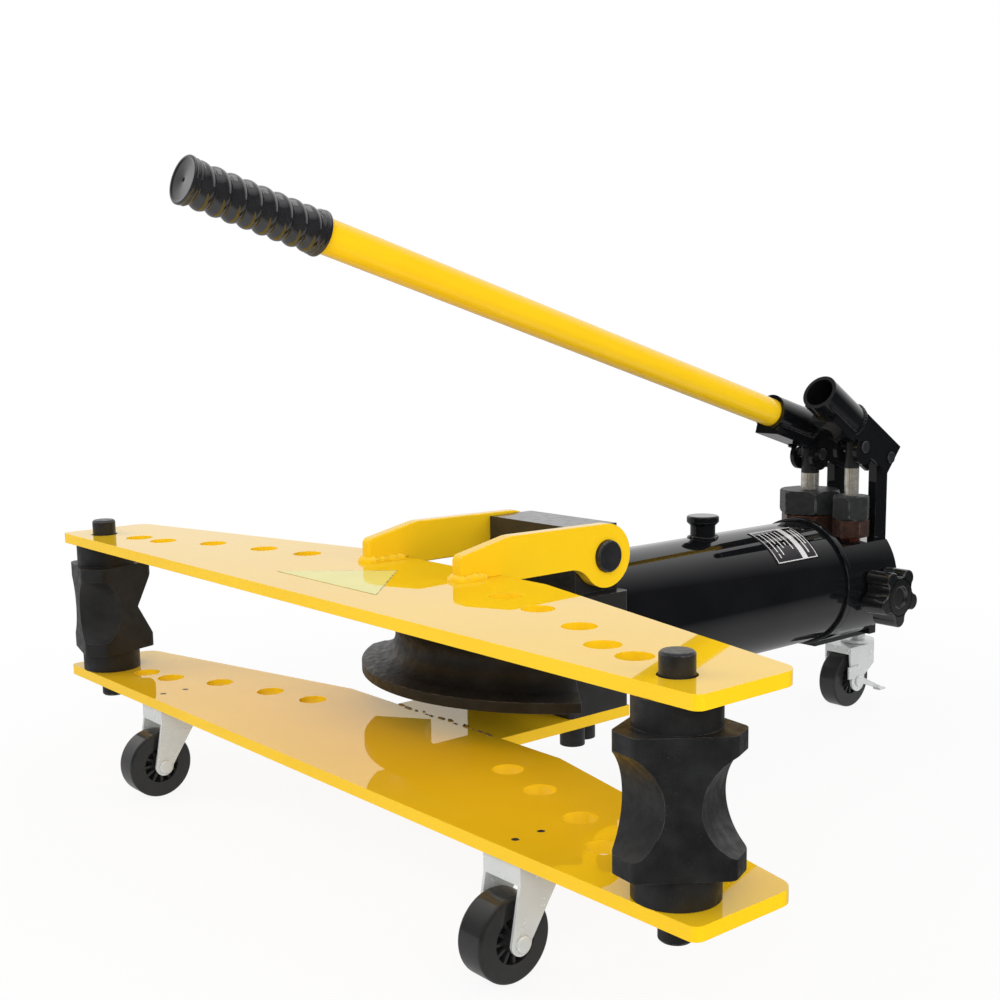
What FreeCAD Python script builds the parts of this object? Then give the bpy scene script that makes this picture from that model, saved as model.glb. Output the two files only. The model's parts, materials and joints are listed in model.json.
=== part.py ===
import FreeCAD, Part
import math
import os

# Manual hydraulic pipe bender lying on its casters.
# Millimetres. X runs along the wings, Y from the wing tips back to the pump, Z is up.
# Shapes are drawn with y = 0 at the front edge of the wings and z = 0 on the floor,
# then moved along Y so that the origin is under the middle of the whole machine.

# Wings
wingThickness = 10.0
wingGap = 130.0
wingHalfLength = 440.0
wingTipDepth = 92.0
wingCornerRadius = 7.0
wingRearCornerRadius = 16.0
upperWingDepth = 165.0
upperShoulder = 128.0
lowerWingDepth = 159.5
lowerShoulder = 149.0
rollerFromTip = 41.5
rollerFromFront = 27.4
spareHoleInboard = (49.9, 86.6, 138.0, 202.6, 256.4)
spareHoleBack = (41.9, 49.6, 76.8, 95.8, 109.8)

# Fixed front casters, with sheet metal brackets
casterHeight = 87.4
wheelRadius = 31.5
wheelWidth = 25.0
wheelEdgeRound = 2.5
wheelX = 260.5
casterFront = 2.5
casterHalfWidth = 19.5
casterSheet = 2.5
casterDepth = 47.0
casterSkirt = 15.0
casterCheekDepth = 37.5
cheekTipRadius = 9.0
wheelBack = 1.1
casterScrewBack = (13.0, 36.6)
casterScrewRadius = 3.0
screwHeadRadius = 5.2
screwHeadHeight = 3.0

# Wheels: tread, spoked hub and axle
hubPlay = 0.5
hubRadius = 8.8
dishRadius = 17.0
dishDepth = 7.0
spokeCount = 12
spokeWidth = 2.4
spokeSink = 1.6
axleRadius = 4.0
axleHeadRadius = 6.0
axleHeadHeight = 3.0

# Rollers and roller pins
pinRadius = 11.45
pinPlay = 1.5
pinAbove = 15.0
pinBelow = 19.2
pinChamfer = 1.6
rollerCollarRadius = 28.4
rollerCollarHeight = 20.0
rollerFace = 31.0
rollerLobe = 42.0
rollerCornerRound = 7.0
rollerEndPlay = 0.3
wideGrooveRadius = 41.0
wideGrooveDepth = 16.0
narrowGrooveRadius = 37.0
narrowGrooveDepth = 18.0
veeGrooveDepth = 16.4
veeGrooveHalfHeight = 32.0
leftRollerAngle = -74.1
rightRollerAngle = -7.4

# Front block, hinge pin and hinge arms
blockFront = 240.0
blockDepth = 74.0
blockHalfWidth = 75.0
blockHeight = 107.6
blockEdgeRound = 5.0
neckSetback = 22.0
neckHalfWidth = 59.0
neckRise = 26.5
hingeFromRear = 23.7
hingeRise = 1.4
hingePinRadius = 14.5
hingePinEnd = 4.5
hingePinChamfer = 1.0
armPlay = 0.5
armWidth = 11.5
armLap = 42.5
armShoulder = 54.5
armNoseHeight = 20.6
armNoseRound = 6.0
armShoulderRound = 40.0
armShoulderHeight = 31.9
armUndersideDrop = 6.6
armThroatRound = 28.0
eyeRadius = 29.0
frontBolt = (58.0, 18.0)
rearBolt = (48.0, 40.5)
boltRadius = 6.5
boltHeadRadius = 11.4
boltHeadHeight = 19.0
boltKeyDepth = 6.5
boltDepth = 34.0

# Oil tank, cylinder, ram and piston
tankDrop = 3.9
tankRadius = 66.9
tankWall = 4.5
tankLength = 345.4
ringThickness = 3.4
ringWidth = 7.5
cylinderRadius = 36.0
cylinderBore = 28.0
cylinderSeat = 20.0
ramRadius = 25.0
ramOut = 56.0
ramChamfer = 1.5
pistonLength = 30.0
pistonRearGap = 10.0

# Bending former
formerHeight = 66.4
formerRadius = 180.6
formerCentreBack = 104.7
formerHalfAngle = 55.0
formerRimHeight = 9.5
formerFlank = 12.0
formerFlankRise = 3.6
formerGrooveDepth = 32.0
formerRimDepth = 57.4
formerWebHeight = 26.0
formerWebBack = 22.0
formerWebLap = 1.0
formerBossHalfWidth = 38.0
formerBossHeight = 64.0
formerBossLap = 6.0
formerSocketDepth = 30.0

# Pump body and release valve
bodyLength = 80.0
flatRise = 43.5
valveBack = 42.7
valveDrop = 11.2
valveSeatX = 46.0
spindleRadius = 7.0
knobGap = 1.7
knobDepth = 29.0
knobLobes = 5
knobAngle = 53.6
knobRadius = 33.0
knobLobeRadius = 9.2
knobHubRadius = 24.5
knobScallopRadius = 9.4
knobScallopReach = 31.0
knobDishRadius = 11.4
knobDishDepth = 3.0

# Pump barrels, gland nuts and plungers
pumpX = 28.4
pumpBack = 50.3
barrelSink = 37.0
plungerFloor = 3.0
plungerSpare = 3.0
glandNeckHeight = 14.0
glandNeckWall = 6.0
glandChamfer = 3.0
cornerTrim = 0.4
eyeDomeRise = 1.4
largePlungerRadius = 10.1
largeStemRadius = 14.5
largeWasherRadius = 19.0
largeWasherHeight = 3.0
largeHexRadius = 33.0
largeHexHeight = 21.2
largeNutAngle = 18.4
largeGlandRadius = 35.6
largeGlandLift = 1.5
largeGlandHeight = 26.3
largeShine = 18.8
smallPlungerRadius = 7.85
smallStemRadius = 9.3
smallWasherRadius = 10.6
smallWasherHeight = 3.6
smallHexRadius = 20.0
smallHexHeight = 18.7
smallHexAngle = 35.0
smallGlandRadius = 21.6
smallGlandAngle = 0.0
smallGlandLift = 0.3
smallGlandHeight = 26.8
smallShine = 30.5

# Lever posts with the foot of the rear caster
postHalfWidth = 5.3
postDepth = 21.0
postTopRadius = 10.5
postPlateHalfWidth = 36.0
postPlateThickness = 12.0
postBack = 8.6
postPlateDrop = 68.0
postPlateTopDrop = 1.0
footThickness = 8.0
footHalfWidth = 11.0
footFront = 14.0

# Levers, handle and grip
pivotBack = 19.1
pivotRise = 88.6
pivotPinRadius = 5.0
plungerPinRadius = 4.5
pinHeadRadius = 6.5
pinHeadHeight = 2.0
leverPlay = 0.4
leverSheet = 4.8
leverTop = 19.5
leverRear = 10.5
leverHeel = 5.8
leverUnderside = 16.0
leverBelly = 17.5
leverEnd = 70.0
plungerPinDrop = 13.5
lobeRadius = 15.5
lobeShift = 3.0
webFront = 14.0
webThickness = 4.6
slotSteps = 8
socketLap = 2.0
socketWall = 4.05
socketFloor = 8.0
cradleHeight = 9.0
leftCradleSetback = 1.5
rightCradleSetback = 22.0
cradleLap = 1.2
leftLeverAngle = 20.5
leftSocketAngle = 17.0
leftSocketRise = 16.0
leftSocketMouth = 132.5
leftLeverLowAngle = -6.0
leftLeverHighAngle = 25.0
rightLeverAngle = 32.6
rightSocketAngle = 32.6
rightSocketRise = 5.5
rightSocketMouth = 134.0
rightLeverLowAngle = -18.0
rightLeverHighAngle = 8.0
handleRadius = 15.35
handlePlay = 0.35
handleWall = 2.5
handleLength = 775.0
gripLength = 127.0
gripWall = 3.25
gripCapRise = 1.0
gripCapThickness = 7.0
gripEndWall = 9.0
gripHoleRadius = 2.0

# Filler cap and data plate
fillerBack = 183.0
fillerBossRadius = 12.8
fillerBossRise = 12.3
fillerPlugRadius = 8.0
fillerPlugLength = 14.0
fillerHeadRadius = 16.5
fillerHeadHeight = 10.0
fillerHeadChamfer = 1.2
fillerHeadTaper = 3.4
plateThickness = 0.6
plateLength = 68.5
plateFromEnd = 40.9
plateTopAngle = 12.0
plateSideAngle = 56.5

# Rear swivel caster with its brake
swivelBack = 28.6
casterTrail = 25.0
rearWheelRadius = 32.5
rearWheelWidth = 22.0
stemRadius = 6.0
stemNutRadius = 9.5
stemNutHeight = 5.0
stemNutAngle = 10.0
raceRadius = 19.0
raceThickness = 3.2
raceDrop = 10.0
forkGap = 0.4
forkHalfWidth = 15.5
forkSheet = 2.2
forkTopRadius = 17.5
forkTipRadius = 9.5
forkSkirt = 8.0
forkFrontReach = 12.0
forkRearReach = 8.0
forkFrontDrop = 14.0
forkRearDrop = 24.0
brakeGap = 0.4
brakeSheet = 2.2
brakePlateRadius = 12.0
brakeEarFront = 17.0
brakeEarRear = 4.0
brakeEarBottom = 4.0
brakeEarTop = 18.0
brakeArmRoot = 6.0
brakeArmLength = 44.0
brakeArmDrop = 14.0
brakeArmHeight = 8.0
brakeTreadWidth = 9.0
brakeTreadLength = 11.0

# Clearances
runningGap = 0.05
slideGap = 0.3
sideGap = 0.5

# Heights that follow from the wings
lowerWingBottom = casterHeight
lowerWingTop = lowerWingBottom + wingThickness
upperWingBottom = lowerWingTop + wingGap
upperWingTop = upperWingBottom + wingThickness
midZ = lowerWingTop + wingGap / 2.0
blockTop = lowerWingTop + blockHeight
hingeZ = upperWingTop + hingeRise
neckTop = hingeZ + neckRise
tankZ = midZ - tankDrop
fillerBossTop = tankZ + tankRadius + fillerBossRise
bodyFlat = tankZ + flatRise
valveZ = tankZ - valveDrop
pivotZ = bodyFlat + pivotRise
barrelFloor = bodyFlat - barrelSink
swivelFootTop = tankZ - postPlateDrop
swivelFootBottom = swivelFootTop - footThickness
raceZ = swivelFootBottom - raceDrop

# Places along Y, front to back
wheelY = casterFront + wheelBack
armFront = upperWingDepth - armLap
armShoulderY = armFront + armShoulder
blockRear = blockFront + blockDepth
neckFront = blockFront + neckSetback
hingeY = blockRear - hingeFromRear
ramNose = blockFront - ramOut
formerCentreY = ramNose + formerCentreBack
fillerY = blockRear + fillerBack
tankEnd = blockRear + tankLength
plateRear = tankEnd - plateFromEnd
valveY = tankEnd + valveBack
pumpY = tankEnd + pumpBack
bodyEnd = tankEnd + bodyLength
pivotY = bodyEnd + pivotBack
swivelY = bodyEnd + swivelBack
swivelAxleY = swivelY - casterTrail

# Widths and radii that follow from what they fit
rollerHole = (wingHalfLength - rollerFromTip, rollerFromFront)
spareHoles = tuple((rollerHole[0] - d, y) for d, y in zip(spareHoleInboard, spareHoleBack))
rollerGrooves = ((wideGrooveRadius, wideGrooveDepth), (narrowGrooveRadius, narrowGrooveDepth))
wingHoleRadius = pinRadius + pinPlay
armInner = neckHalfWidth + armPlay
armOuter = armInner + armWidth
ringRadius = tankRadius + ringThickness
bodyRadius = ringRadius
formerRimInside = formerRadius - formerRimDepth
knobInner = bodyRadius + knobGap
leverGapHalf = largePlungerRadius + leverPlay
leverOuter = leverGapHalf + leverSheet
socketStart = leverEnd - socketLap
socketBoreRadius = handleRadius + handlePlay
socketRadius = socketBoreRadius + socketWall
gripRadius = handleRadius + gripWall
gripCapRadius = gripRadius + gripCapRise

xAxis = FreeCAD.Vector(1, 0, 0)
yAxis = FreeCAD.Vector(0, 1, 0)
zAxis = FreeCAD.Vector(0, 0, 1)


def point(x, y, z):
    return FreeCAD.Vector(x, y, z)


def box(x0, x1, y0, y1, z0, z1):
    return Part.makeBox(x1 - x0, y1 - y0, z1 - z0, point(x0, y0, z0))


def rod(radius, length, base, direction):
    return Part.makeCylinder(radius, length, base, direction)


def pipe(outer, inner, length, base, direction):
    return rod(outer, length, base, direction).cut(rod(inner, length, base, direction))


def prism(corners, sweep):
    outline = Part.makePolygon(corners + [corners[0]])
    return Part.Face(outline).extrude(sweep)


def joined(shapes):
    whole = shapes[0]
    for shape in shapes[1:]:
        whole = whole.fuse(shape)
    return whole.removeSplitter()


def cut_all(shape, tools):
    for tool in tools:
        shape = shape.cut(tool)
    return shape


def mirrored(shape):
    return shape.mirror(point(0, 0, 0), xAxis)


def turned(shape, centre, axis, degrees):
    result = shape.copy()
    result.rotate(centre, axis, degrees)
    return result


def hex_prism(radius, z0, z1, x, y, turn):
    corners = []
    for side in range(6):
        angle = math.radians(60.0 * side + turn)
        corners.append(point(x + radius * math.cos(angle), y + radius * math.sin(angle), z0))
    return prism(corners, point(0, 0, z1 - z0))


def upright_edges(shape, x_min):
    chosen = []
    for edge in shape.Edges:
        ends = [v.Point for v in edge.Vertexes]
        if len(ends) == 2 and abs(ends[0].x - ends[1].x) < 0.01 and abs(ends[0].y - ends[1].y) < 0.01:
            if abs(ends[0].x) > x_min:
                chosen.append(edge)
    return chosen


def both_sides(x, y):
    return ((-x, y), (x, y))


# Wing plates
def wing_plate(corners, z0):
    right = [point(x, y, z0) for x, y in corners]
    left = [point(-x, y, z0) for x, y in reversed(corners)]
    plate = prism(right + left, point(0, 0, wingThickness))
    half_depth = wingTipDepth / 2.0
    tips = upright_edges(plate, wingHalfLength - wingCornerRadius)
    plate = plate.makeFillet(wingCornerRadius, [e for e in tips if e.CenterOfMass.y < half_depth])
    tips = upright_edges(plate, wingHalfLength - sideGap)
    plate = plate.makeFillet(wingRearCornerRadius, [e for e in tips if e.CenterOfMass.y > half_depth])
    for hole in (rollerHole,) + spareHoles:
        for x, y in both_sides(hole[0], hole[1]):
            plate = plate.cut(rod(wingHoleRadius, wingThickness, point(x, y, z0), zAxis))
    return plate


def upper_wing_plate():
    corners = [
        (wingHalfLength, 0.0),
        (wingHalfLength, wingTipDepth),
        (upperShoulder, upperWingDepth),
    ]
    return wing_plate(corners, upperWingBottom)


def lower_wing_plate():
    corners = [
        (wingHalfLength, 0.0),
        (wingHalfLength, wingTipDepth),
        (lowerShoulder, lowerWingDepth),
        (blockHalfWidth, lowerWingDepth),
        (blockHalfWidth, blockRear),
    ]
    plate = wing_plate(corners, lowerWingBottom)
    for x, y in caster_screw_places():
        plate = plate.cut(rod(casterScrewRadius, wingThickness, point(x, y, lowerWingBottom), zAxis))
    for x, y in block_bolt_places():
        plate = plate.cut(rod(boltRadius, wingThickness, point(x, y, lowerWingBottom), zAxis))
    return plate


# Front block, its bolts and the hinge
def block_bolt_places():
    places = []
    for x, back in (frontBolt, rearBolt):
        places.extend(both_sides(x, blockFront + back))
    return tuple(places)


def front_block():
    lower = box(-blockHalfWidth, blockHalfWidth, blockFront, blockRear, lowerWingTop, blockTop)
    lower = lower.makeFillet(blockEdgeRound, upright_edges(lower, 0.0))
    neck = box(-neckHalfWidth, neckHalfWidth, neckFront, blockRear, lowerWingTop, neckTop)
    solid = joined([lower, neck])
    tools = [
        rod(ramRadius + runningGap, blockRear, point(0, 0, midZ), yAxis),
        rod(cylinderRadius, cylinderSeat, point(0, blockRear - cylinderSeat, midZ), yAxis),
        rod(hingePinRadius, 2 * neckHalfWidth, point(-neckHalfWidth, hingeY, hingeZ), xAxis),
    ]
    for x, y in block_bolt_places():
        tools.append(rod(boltRadius, boltDepth - wingThickness, point(x, y, lowerWingTop), zAxis))
    return cut_all(solid, tools)


def block_bolts():
    bolts = []
    for x, y in block_bolt_places():
        shank = rod(boltRadius, boltDepth, point(x, y, lowerWingBottom), zAxis)
        head_base = point(x, y, lowerWingBottom - boltHeadHeight)
        head = rod(boltHeadRadius, boltHeadHeight, head_base, zAxis)
        key = hex_prism(boltRadius, head_base.z, head_base.z + boltKeyDepth, x, y, 0.0)
        bolts.append(joined([shank, head]).cut(key))
    return Part.makeCompound(bolts)


def hinge_pin():
    half = armOuter + hingePinEnd
    pin = rod(hingePinRadius, 2 * half, point(-half, hingeY, hingeZ), xAxis)
    rims = [e for e in pin.Edges if abs(e.CenterOfMass.x) > half - 0.1]
    return pin.makeChamfer(hingePinChamfer, rims)


def crosswise_edges(arm, y0, y1, z0, z1):
    chosen = []
    for edge in arm.Edges:
        middle = edge.CenterOfMass
        if abs(middle.x - armInner - armWidth / 2.0) < runningGap:
            if y0 < middle.y < y1 and z0 < middle.z < z1:
                chosen.append(edge)
    return chosen


def hinge_arm():
    underside = upperWingTop - armUndersideDrop
    side = [
        (armFront, upperWingTop),
        (armFront, upperWingTop + armNoseHeight),
        (armShoulderY, upperWingTop + armShoulderHeight),
        (hingeY, hingeZ + eyeRadius),
        (hingeY, underside),
        (upperWingDepth + sideGap, underside),
        (upperWingDepth + sideGap, upperWingTop),
    ]
    corners = [point(armInner, y, z) for y, z in side]
    arm = prism(corners, point(armWidth, 0, 0))
    above = upperWingTop + armNoseHeight / 2.0
    high = hingeZ + eyeRadius + armWidth
    nose = crosswise_edges(arm, armFront - sideGap, armFront + sideGap, above, high)
    arm = arm.makeFillet(armNoseRound, nose)
    shoulder = crosswise_edges(arm, armShoulderY - sideGap, armShoulderY + sideGap, above, high)
    arm = arm.makeFillet(armShoulderRound, shoulder)
    eye = rod(eyeRadius, armWidth, point(armInner, hingeY, hingeZ), xAxis)
    bore = rod(hingePinRadius + runningGap, armWidth, point(armInner, hingeY, hingeZ), xAxis)
    arm = joined([arm, eye])
    throat = crosswise_edges(arm, hingeY - eyeRadius, hingeY, underside - sideGap, underside + sideGap)
    return arm.makeFillet(armThroatRound, throat).cut(bore)


# Rollers and their pins
def roller_pin(x):
    z0 = lowerWingBottom - pinBelow
    z1 = upperWingTop + pinAbove
    pin = rod(pinRadius, z1 - z0, point(x, rollerHole[1], z0), zAxis)
    rims = [e for e in pin.Edges if len(e.Vertexes) == 1]
    return pin.makeChamfer(pinChamfer, rims)


def roller_body_outline(z0):
    corners = []
    half = (2.0 * rollerFace - rollerLobe) * math.tan(math.radians(30.0))
    for lobe in range(3):
        for side in (-1.0, 1.0):
            angle = math.radians(120.0 * lobe)
            x = rollerLobe * math.sin(angle) + side * half * math.cos(angle)
            y = -rollerLobe * math.cos(angle) + side * half * math.sin(angle)
            corners.append(point(x, y, z0))
    return corners


def round_groove(radius, depth):
    centre = rollerLobe - depth + radius
    half = 2.0 * rollerLobe
    return rod(radius, 2.0 * half, point(-half, -centre, midZ), xAxis)


def vee_groove():
    bottom = rollerLobe - veeGrooveDepth
    top = rollerLobe + veeGrooveDepth
    slope = veeGrooveHalfHeight / veeGrooveDepth
    reach = (top - bottom) * slope
    half = 2.0 * rollerLobe
    corners = [
        point(-half, -bottom, midZ),
        point(-half, -top, midZ - reach),
        point(-half, -top, midZ + reach),
    ]
    return prism(corners, point(2.0 * half, 0, 0))


def roller(x, turn):
    z0 = lowerWingTop + rollerEndPlay
    z1 = upperWingBottom - rollerEndPlay
    block_z0 = z0 + rollerCollarHeight
    block_z1 = z1 - rollerCollarHeight
    block = prism(roller_body_outline(block_z0), point(0, 0, block_z1 - block_z0))
    block = block.makeFillet(rollerCornerRound, upright_edges(block, 0.0))
    for lobe, groove in enumerate(rollerGrooves):
        tool = turned(round_groove(*groove), point(0, 0, 0), zAxis, 120.0 * lobe)
        block = block.cut(tool)
    block = block.cut(turned(vee_groove(), point(0, 0, 0), zAxis, 240.0))
    collar = rod(rollerCollarRadius, z1 - z0, point(0, 0, z0), zAxis)
    reach = 2.0 * rollerLobe
    ends = collar.cut(box(-reach, reach, -reach, reach, block_z0, block_z1))
    solid = joined([ends, block])
    solid = solid.cut(rod(pinRadius + runningGap, z1 - z0, point(0, 0, z0), zAxis))
    solid = turned(solid, point(0, 0, 0), zAxis, turn)
    solid.translate(point(x, rollerHole[1], 0))
    return solid


# Tank, cylinder, ram and piston
def filler_bore():
    height = fillerBossTop - tankZ
    return rod(fillerPlugRadius + runningGap, height, point(0, fillerY, tankZ), zAxis)


def filler_boss():
    boss = rod(fillerBossRadius, fillerBossTop - tankZ, point(0, fillerY, tankZ), zAxis)
    saddle = rod(tankRadius, 2.0 * fillerBossRadius, point(0, fillerY - fillerBossRadius, tankZ), yAxis)
    return cut_all(boss, [saddle, filler_bore()])


def oil_tank():
    length = tankEnd - blockRear
    shell = pipe(tankRadius, tankRadius - tankWall, length, point(0, blockRear, tankZ), yAxis)
    return shell.cut(filler_bore())


def tank_end_ring():
    start = tankEnd - ringWidth
    return pipe(ringRadius, tankRadius, ringWidth, point(0, start, tankZ), yAxis)


def ram_cylinder():
    start = blockRear - cylinderSeat
    return pipe(cylinderRadius, cylinderBore, tankEnd - start, point(0, start, midZ), yAxis)


def piston_rear():
    return tankEnd - pistonRearGap


def ram():
    rod_end = piston_rear() - pistonLength
    bar = rod(ramRadius, rod_end - ramNose, point(0, ramNose, midZ), yAxis)
    rims = [e for e in bar.Edges if len(e.Vertexes) == 1 and e.CenterOfMass.y < ramNose + 1.0]
    return bar.makeChamfer(ramChamfer, rims)


def ram_piston():
    start = piston_rear() - pistonLength
    return rod(cylinderBore - runningGap, pistonLength, point(0, start, midZ), yAxis)


# Bending former pushed by the ram
def former_profile(x):
    top = formerHeight / 2.0
    rim = top - formerRimHeight
    flank_z = rim - formerFlankRise
    outer = formerRadius
    low_rim = point(outer, 0, -rim)
    low_flank = point(outer - formerFlank, 0, -flank_z)
    bottom = point(outer - formerGrooveDepth, 0, 0)
    high_flank = point(outer - formerFlank, 0, flank_z)
    high_rim = point(outer, 0, rim)
    edges = [
        Part.makeLine(point(x, 0, -top), point(outer, 0, -top)),
        Part.makeLine(point(outer, 0, -top), low_rim),
        Part.makeLine(low_rim, low_flank),
        Part.Arc(low_flank, bottom, high_flank).toShape(),
        Part.makeLine(high_flank, high_rim),
        Part.makeLine(high_rim, point(outer, 0, top)),
        Part.makeLine(point(outer, 0, top), point(x, 0, top)),
        Part.makeLine(point(x, 0, top), point(x, 0, -top)),
    ]
    return Part.Face(Part.Wire(edges))


def bending_former():
    rim = former_profile(formerRimInside).revolve(point(0, 0, 0), zAxis, 2.0 * formerHalfAngle)
    rim = turned(rim, point(0, 0, 0), zAxis, -90.0 - formerHalfAngle)
    rim.translate(point(0, formerCentreY, midZ))
    web_z0 = midZ - formerWebHeight / 2.0
    disc = rod(formerRimInside + formerWebLap, formerWebHeight, point(0, formerCentreY, web_z0), zAxis)
    reach = formerRimInside * math.sin(math.radians(formerHalfAngle))
    web_back = ramNose + formerWebBack
    window = box(-reach, reach, 0.0, web_back, web_z0, web_z0 + formerWebHeight)
    web = disc.common(window)
    boss_front = formerCentreY - formerRimInside - formerBossLap
    boss_z0 = midZ - formerBossHeight / 2.0
    boss_z1 = boss_z0 + formerBossHeight
    boss_back = ramNose + formerSocketDepth
    boss = box(-formerBossHalfWidth, formerBossHalfWidth, boss_front, boss_back, boss_z0, boss_z1)
    solid = joined([rim, web, boss])
    return solid.cut(rod(ramRadius, formerSocketDepth, point(0, ramNose, midZ), yAxis))


# Pump body with its bores, and the release valve
def pump_body():
    length = bodyEnd - tankEnd
    solid = rod(bodyRadius, length, point(0, tankEnd, tankZ), yAxis)
    above = box(-bodyRadius, bodyRadius, tankEnd, bodyEnd, bodyFlat, tankZ + bodyRadius)
    depth = bodyFlat - barrelFloor
    tools = [
        above,
        rod(largeStemRadius, depth, point(-pumpX, pumpY, barrelFloor), zAxis),
        rod(smallStemRadius, depth, point(pumpX, pumpY, barrelFloor), zAxis),
        rod(spindleRadius + runningGap, bodyRadius, point(valveSeatX, valveY, valveZ), xAxis),
    ]
    return cut_all(solid, tools)


def release_spindle():
    start = valveSeatX + sideGap
    return rod(spindleRadius, knobInner - start, point(start, valveY, valveZ), xAxis)


def knob_place(radius, degrees):
    angle = math.radians(degrees)
    return point(knobInner, valveY + radius * math.cos(angle), valveZ + radius * math.sin(angle))


def release_knob():
    solid = rod(knobHubRadius, knobDepth, knob_place(0.0, 0.0), xAxis)
    pitch = 360.0 / knobLobes
    for lobe in range(knobLobes):
        centre = knob_place(knobRadius - knobLobeRadius, pitch * lobe + knobAngle)
        solid = joined([solid, rod(knobLobeRadius, knobDepth, centre, xAxis)])
    for lobe in range(knobLobes):
        centre = knob_place(knobScallopReach, pitch * (lobe + 0.5) + knobAngle)
        solid = solid.cut(rod(knobScallopRadius, knobDepth, centre, xAxis))
    dish_base = point(knobInner + knobDepth - knobDishDepth, valveY, valveZ)
    return solid.cut(rod(knobDishRadius, knobDishDepth, dish_base, xAxis))


# Pump elements
def copper_washer(x, outer, inner, height):
    return pipe(outer, inner, height, point(x, pumpY, bodyFlat), zAxis)


def pump_barrel(x, stem, hex_z0, hex_z1, hex_radius, neck, plunger, turn):
    shapes = [
        rod(stem, hex_z0 - barrelFloor, point(x, pumpY, barrelFloor), zAxis),
        hex_prism(hex_radius, hex_z0, hex_z1, x, pumpY, turn),
        rod(neck, glandNeckHeight, point(x, pumpY, hex_z1), zAxis),
    ]
    bore_z0 = barrelFloor + plungerFloor
    bore = rod(plunger + runningGap, hex_z1 + glandNeckHeight - bore_z0, point(x, pumpY, bore_z0), zAxis)
    return joined(shapes).cut(bore)


def rounded_corners(x, z0, z1, radius):
    full = radius - cornerTrim
    low = Part.makeCone(full - glandChamfer, full, glandChamfer, point(x, pumpY, z0), zAxis)
    middle = rod(full, z1 - z0 - 2.0 * glandChamfer, point(x, pumpY, z0 + glandChamfer), zAxis)
    high = Part.makeCone(full, full - glandChamfer, glandChamfer, point(x, pumpY, z1 - glandChamfer), zAxis)
    return joined([low, middle, high])


def gland_nut(x, z0, z1, radius, neck, neck_top, plunger, turn):
    nut = hex_prism(radius, z0, z1, x, pumpY, turn).common(rounded_corners(x, z0, z1, radius))
    tools = [
        rod(neck, neck_top - z0, point(x, pumpY, z0), zAxis),
        rod(plunger + runningGap, z1 - z0, point(x, pumpY, z0), zAxis),
    ]
    return cut_all(nut, tools)


def plunger(x, radius, bottom, top):
    return rod(radius, top - bottom, point(x, pumpY, bottom), zAxis)


def plunger_eye(x, radius, z0, pin_z):
    reach = radius + eyeDomeRise
    eye = rod(radius, pin_z - z0, point(x, pumpY, z0), zAxis)
    upper = rod(radius, reach, point(x, pumpY, pin_z), zAxis)
    dome = rod(reach, 4 * radius, point(x - 2 * radius, pumpY, pin_z), xAxis)
    eye = joined([eye, upper.common(dome)])
    return eye.cut(rod(plungerPinRadius, 4 * radius, point(x - 2 * radius, pumpY, pin_z), xAxis))


def pin_length():
    return 2.0 * (leverOuter + slideGap)


def headed_pin(x, y, z, radius):
    half = pin_length() / 2.0
    shapes = [
        rod(radius, 2 * half, point(x - half, y, z), xAxis),
        rod(pinHeadRadius, pinHeadHeight, point(x - half - pinHeadHeight, y, z), xAxis),
        rod(pinHeadRadius, pinHeadHeight, point(x + half, y, z), xAxis),
    ]
    return joined(shapes)


# Levers: u runs from the pivot to the mouth, w is square to it
def lever_point(x, u, w, tilt):
    angle = math.radians(tilt)
    y = pivotY - u * math.cos(angle) + w * math.sin(angle)
    z = pivotZ + u * math.sin(angle) + w * math.cos(angle)
    return point(x, y, z)


def plunger_pin_height(tilt):
    angle = math.radians(tilt)
    reach = pivotY - pumpY
    u = (reach - plungerPinDrop * math.sin(angle)) / math.cos(angle)
    return u * math.sin(angle) - plungerPinDrop * math.cos(angle)


def plunger_rate(tilt, low, high):
    rise = plunger_pin_height(tilt + high) - plunger_pin_height(tilt + low)
    return rise / math.radians(high - low)


def plunger_pin_z(tilt):
    return pivotZ + plunger_pin_height(tilt)


def slot_track(tilt, low, high):
    rate = plunger_rate(tilt, low, high)
    track = []
    for step in range(slotSteps + 1):
        swing = low + (high - low) * step / slotSteps
        angle = math.radians(tilt + swing)
        dy = pumpY - pivotY
        dz = plunger_pin_height(tilt) + rate * math.radians(swing)
        u = dz * math.sin(angle) - dy * math.cos(angle)
        w = dz * math.cos(angle) + dy * math.sin(angle)
        track.append((u, w))
    return track


def lever_slot(x, tilt, low, high):
    track = slot_track(tilt, low, high)
    u0 = min(u for u, w in track)
    u1 = max(u for u, w in track)
    w0 = min(w for u, w in track)
    w1 = max(w for u, w in track)
    radius = plungerPinRadius + slideGap + (w1 - w0) / 2.0
    w_mid = (w0 + w1) / 2.0
    length = 4.0 * leverOuter
    start = x - length / 2.0
    tools = []
    for u in (u0, u1):
        tools.append(rod(radius, length, lever_point(start, u, w_mid, tilt), xAxis))
    corners = [
        lever_point(start, u0, w_mid - radius, tilt),
        lever_point(start, u1, w_mid - radius, tilt),
        lever_point(start, u1, w_mid + radius, tilt),
        lever_point(start, u0, w_mid + radius, tilt),
    ]
    tools.append(prism(corners, point(length, 0, 0)))
    return joined(tools)


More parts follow.
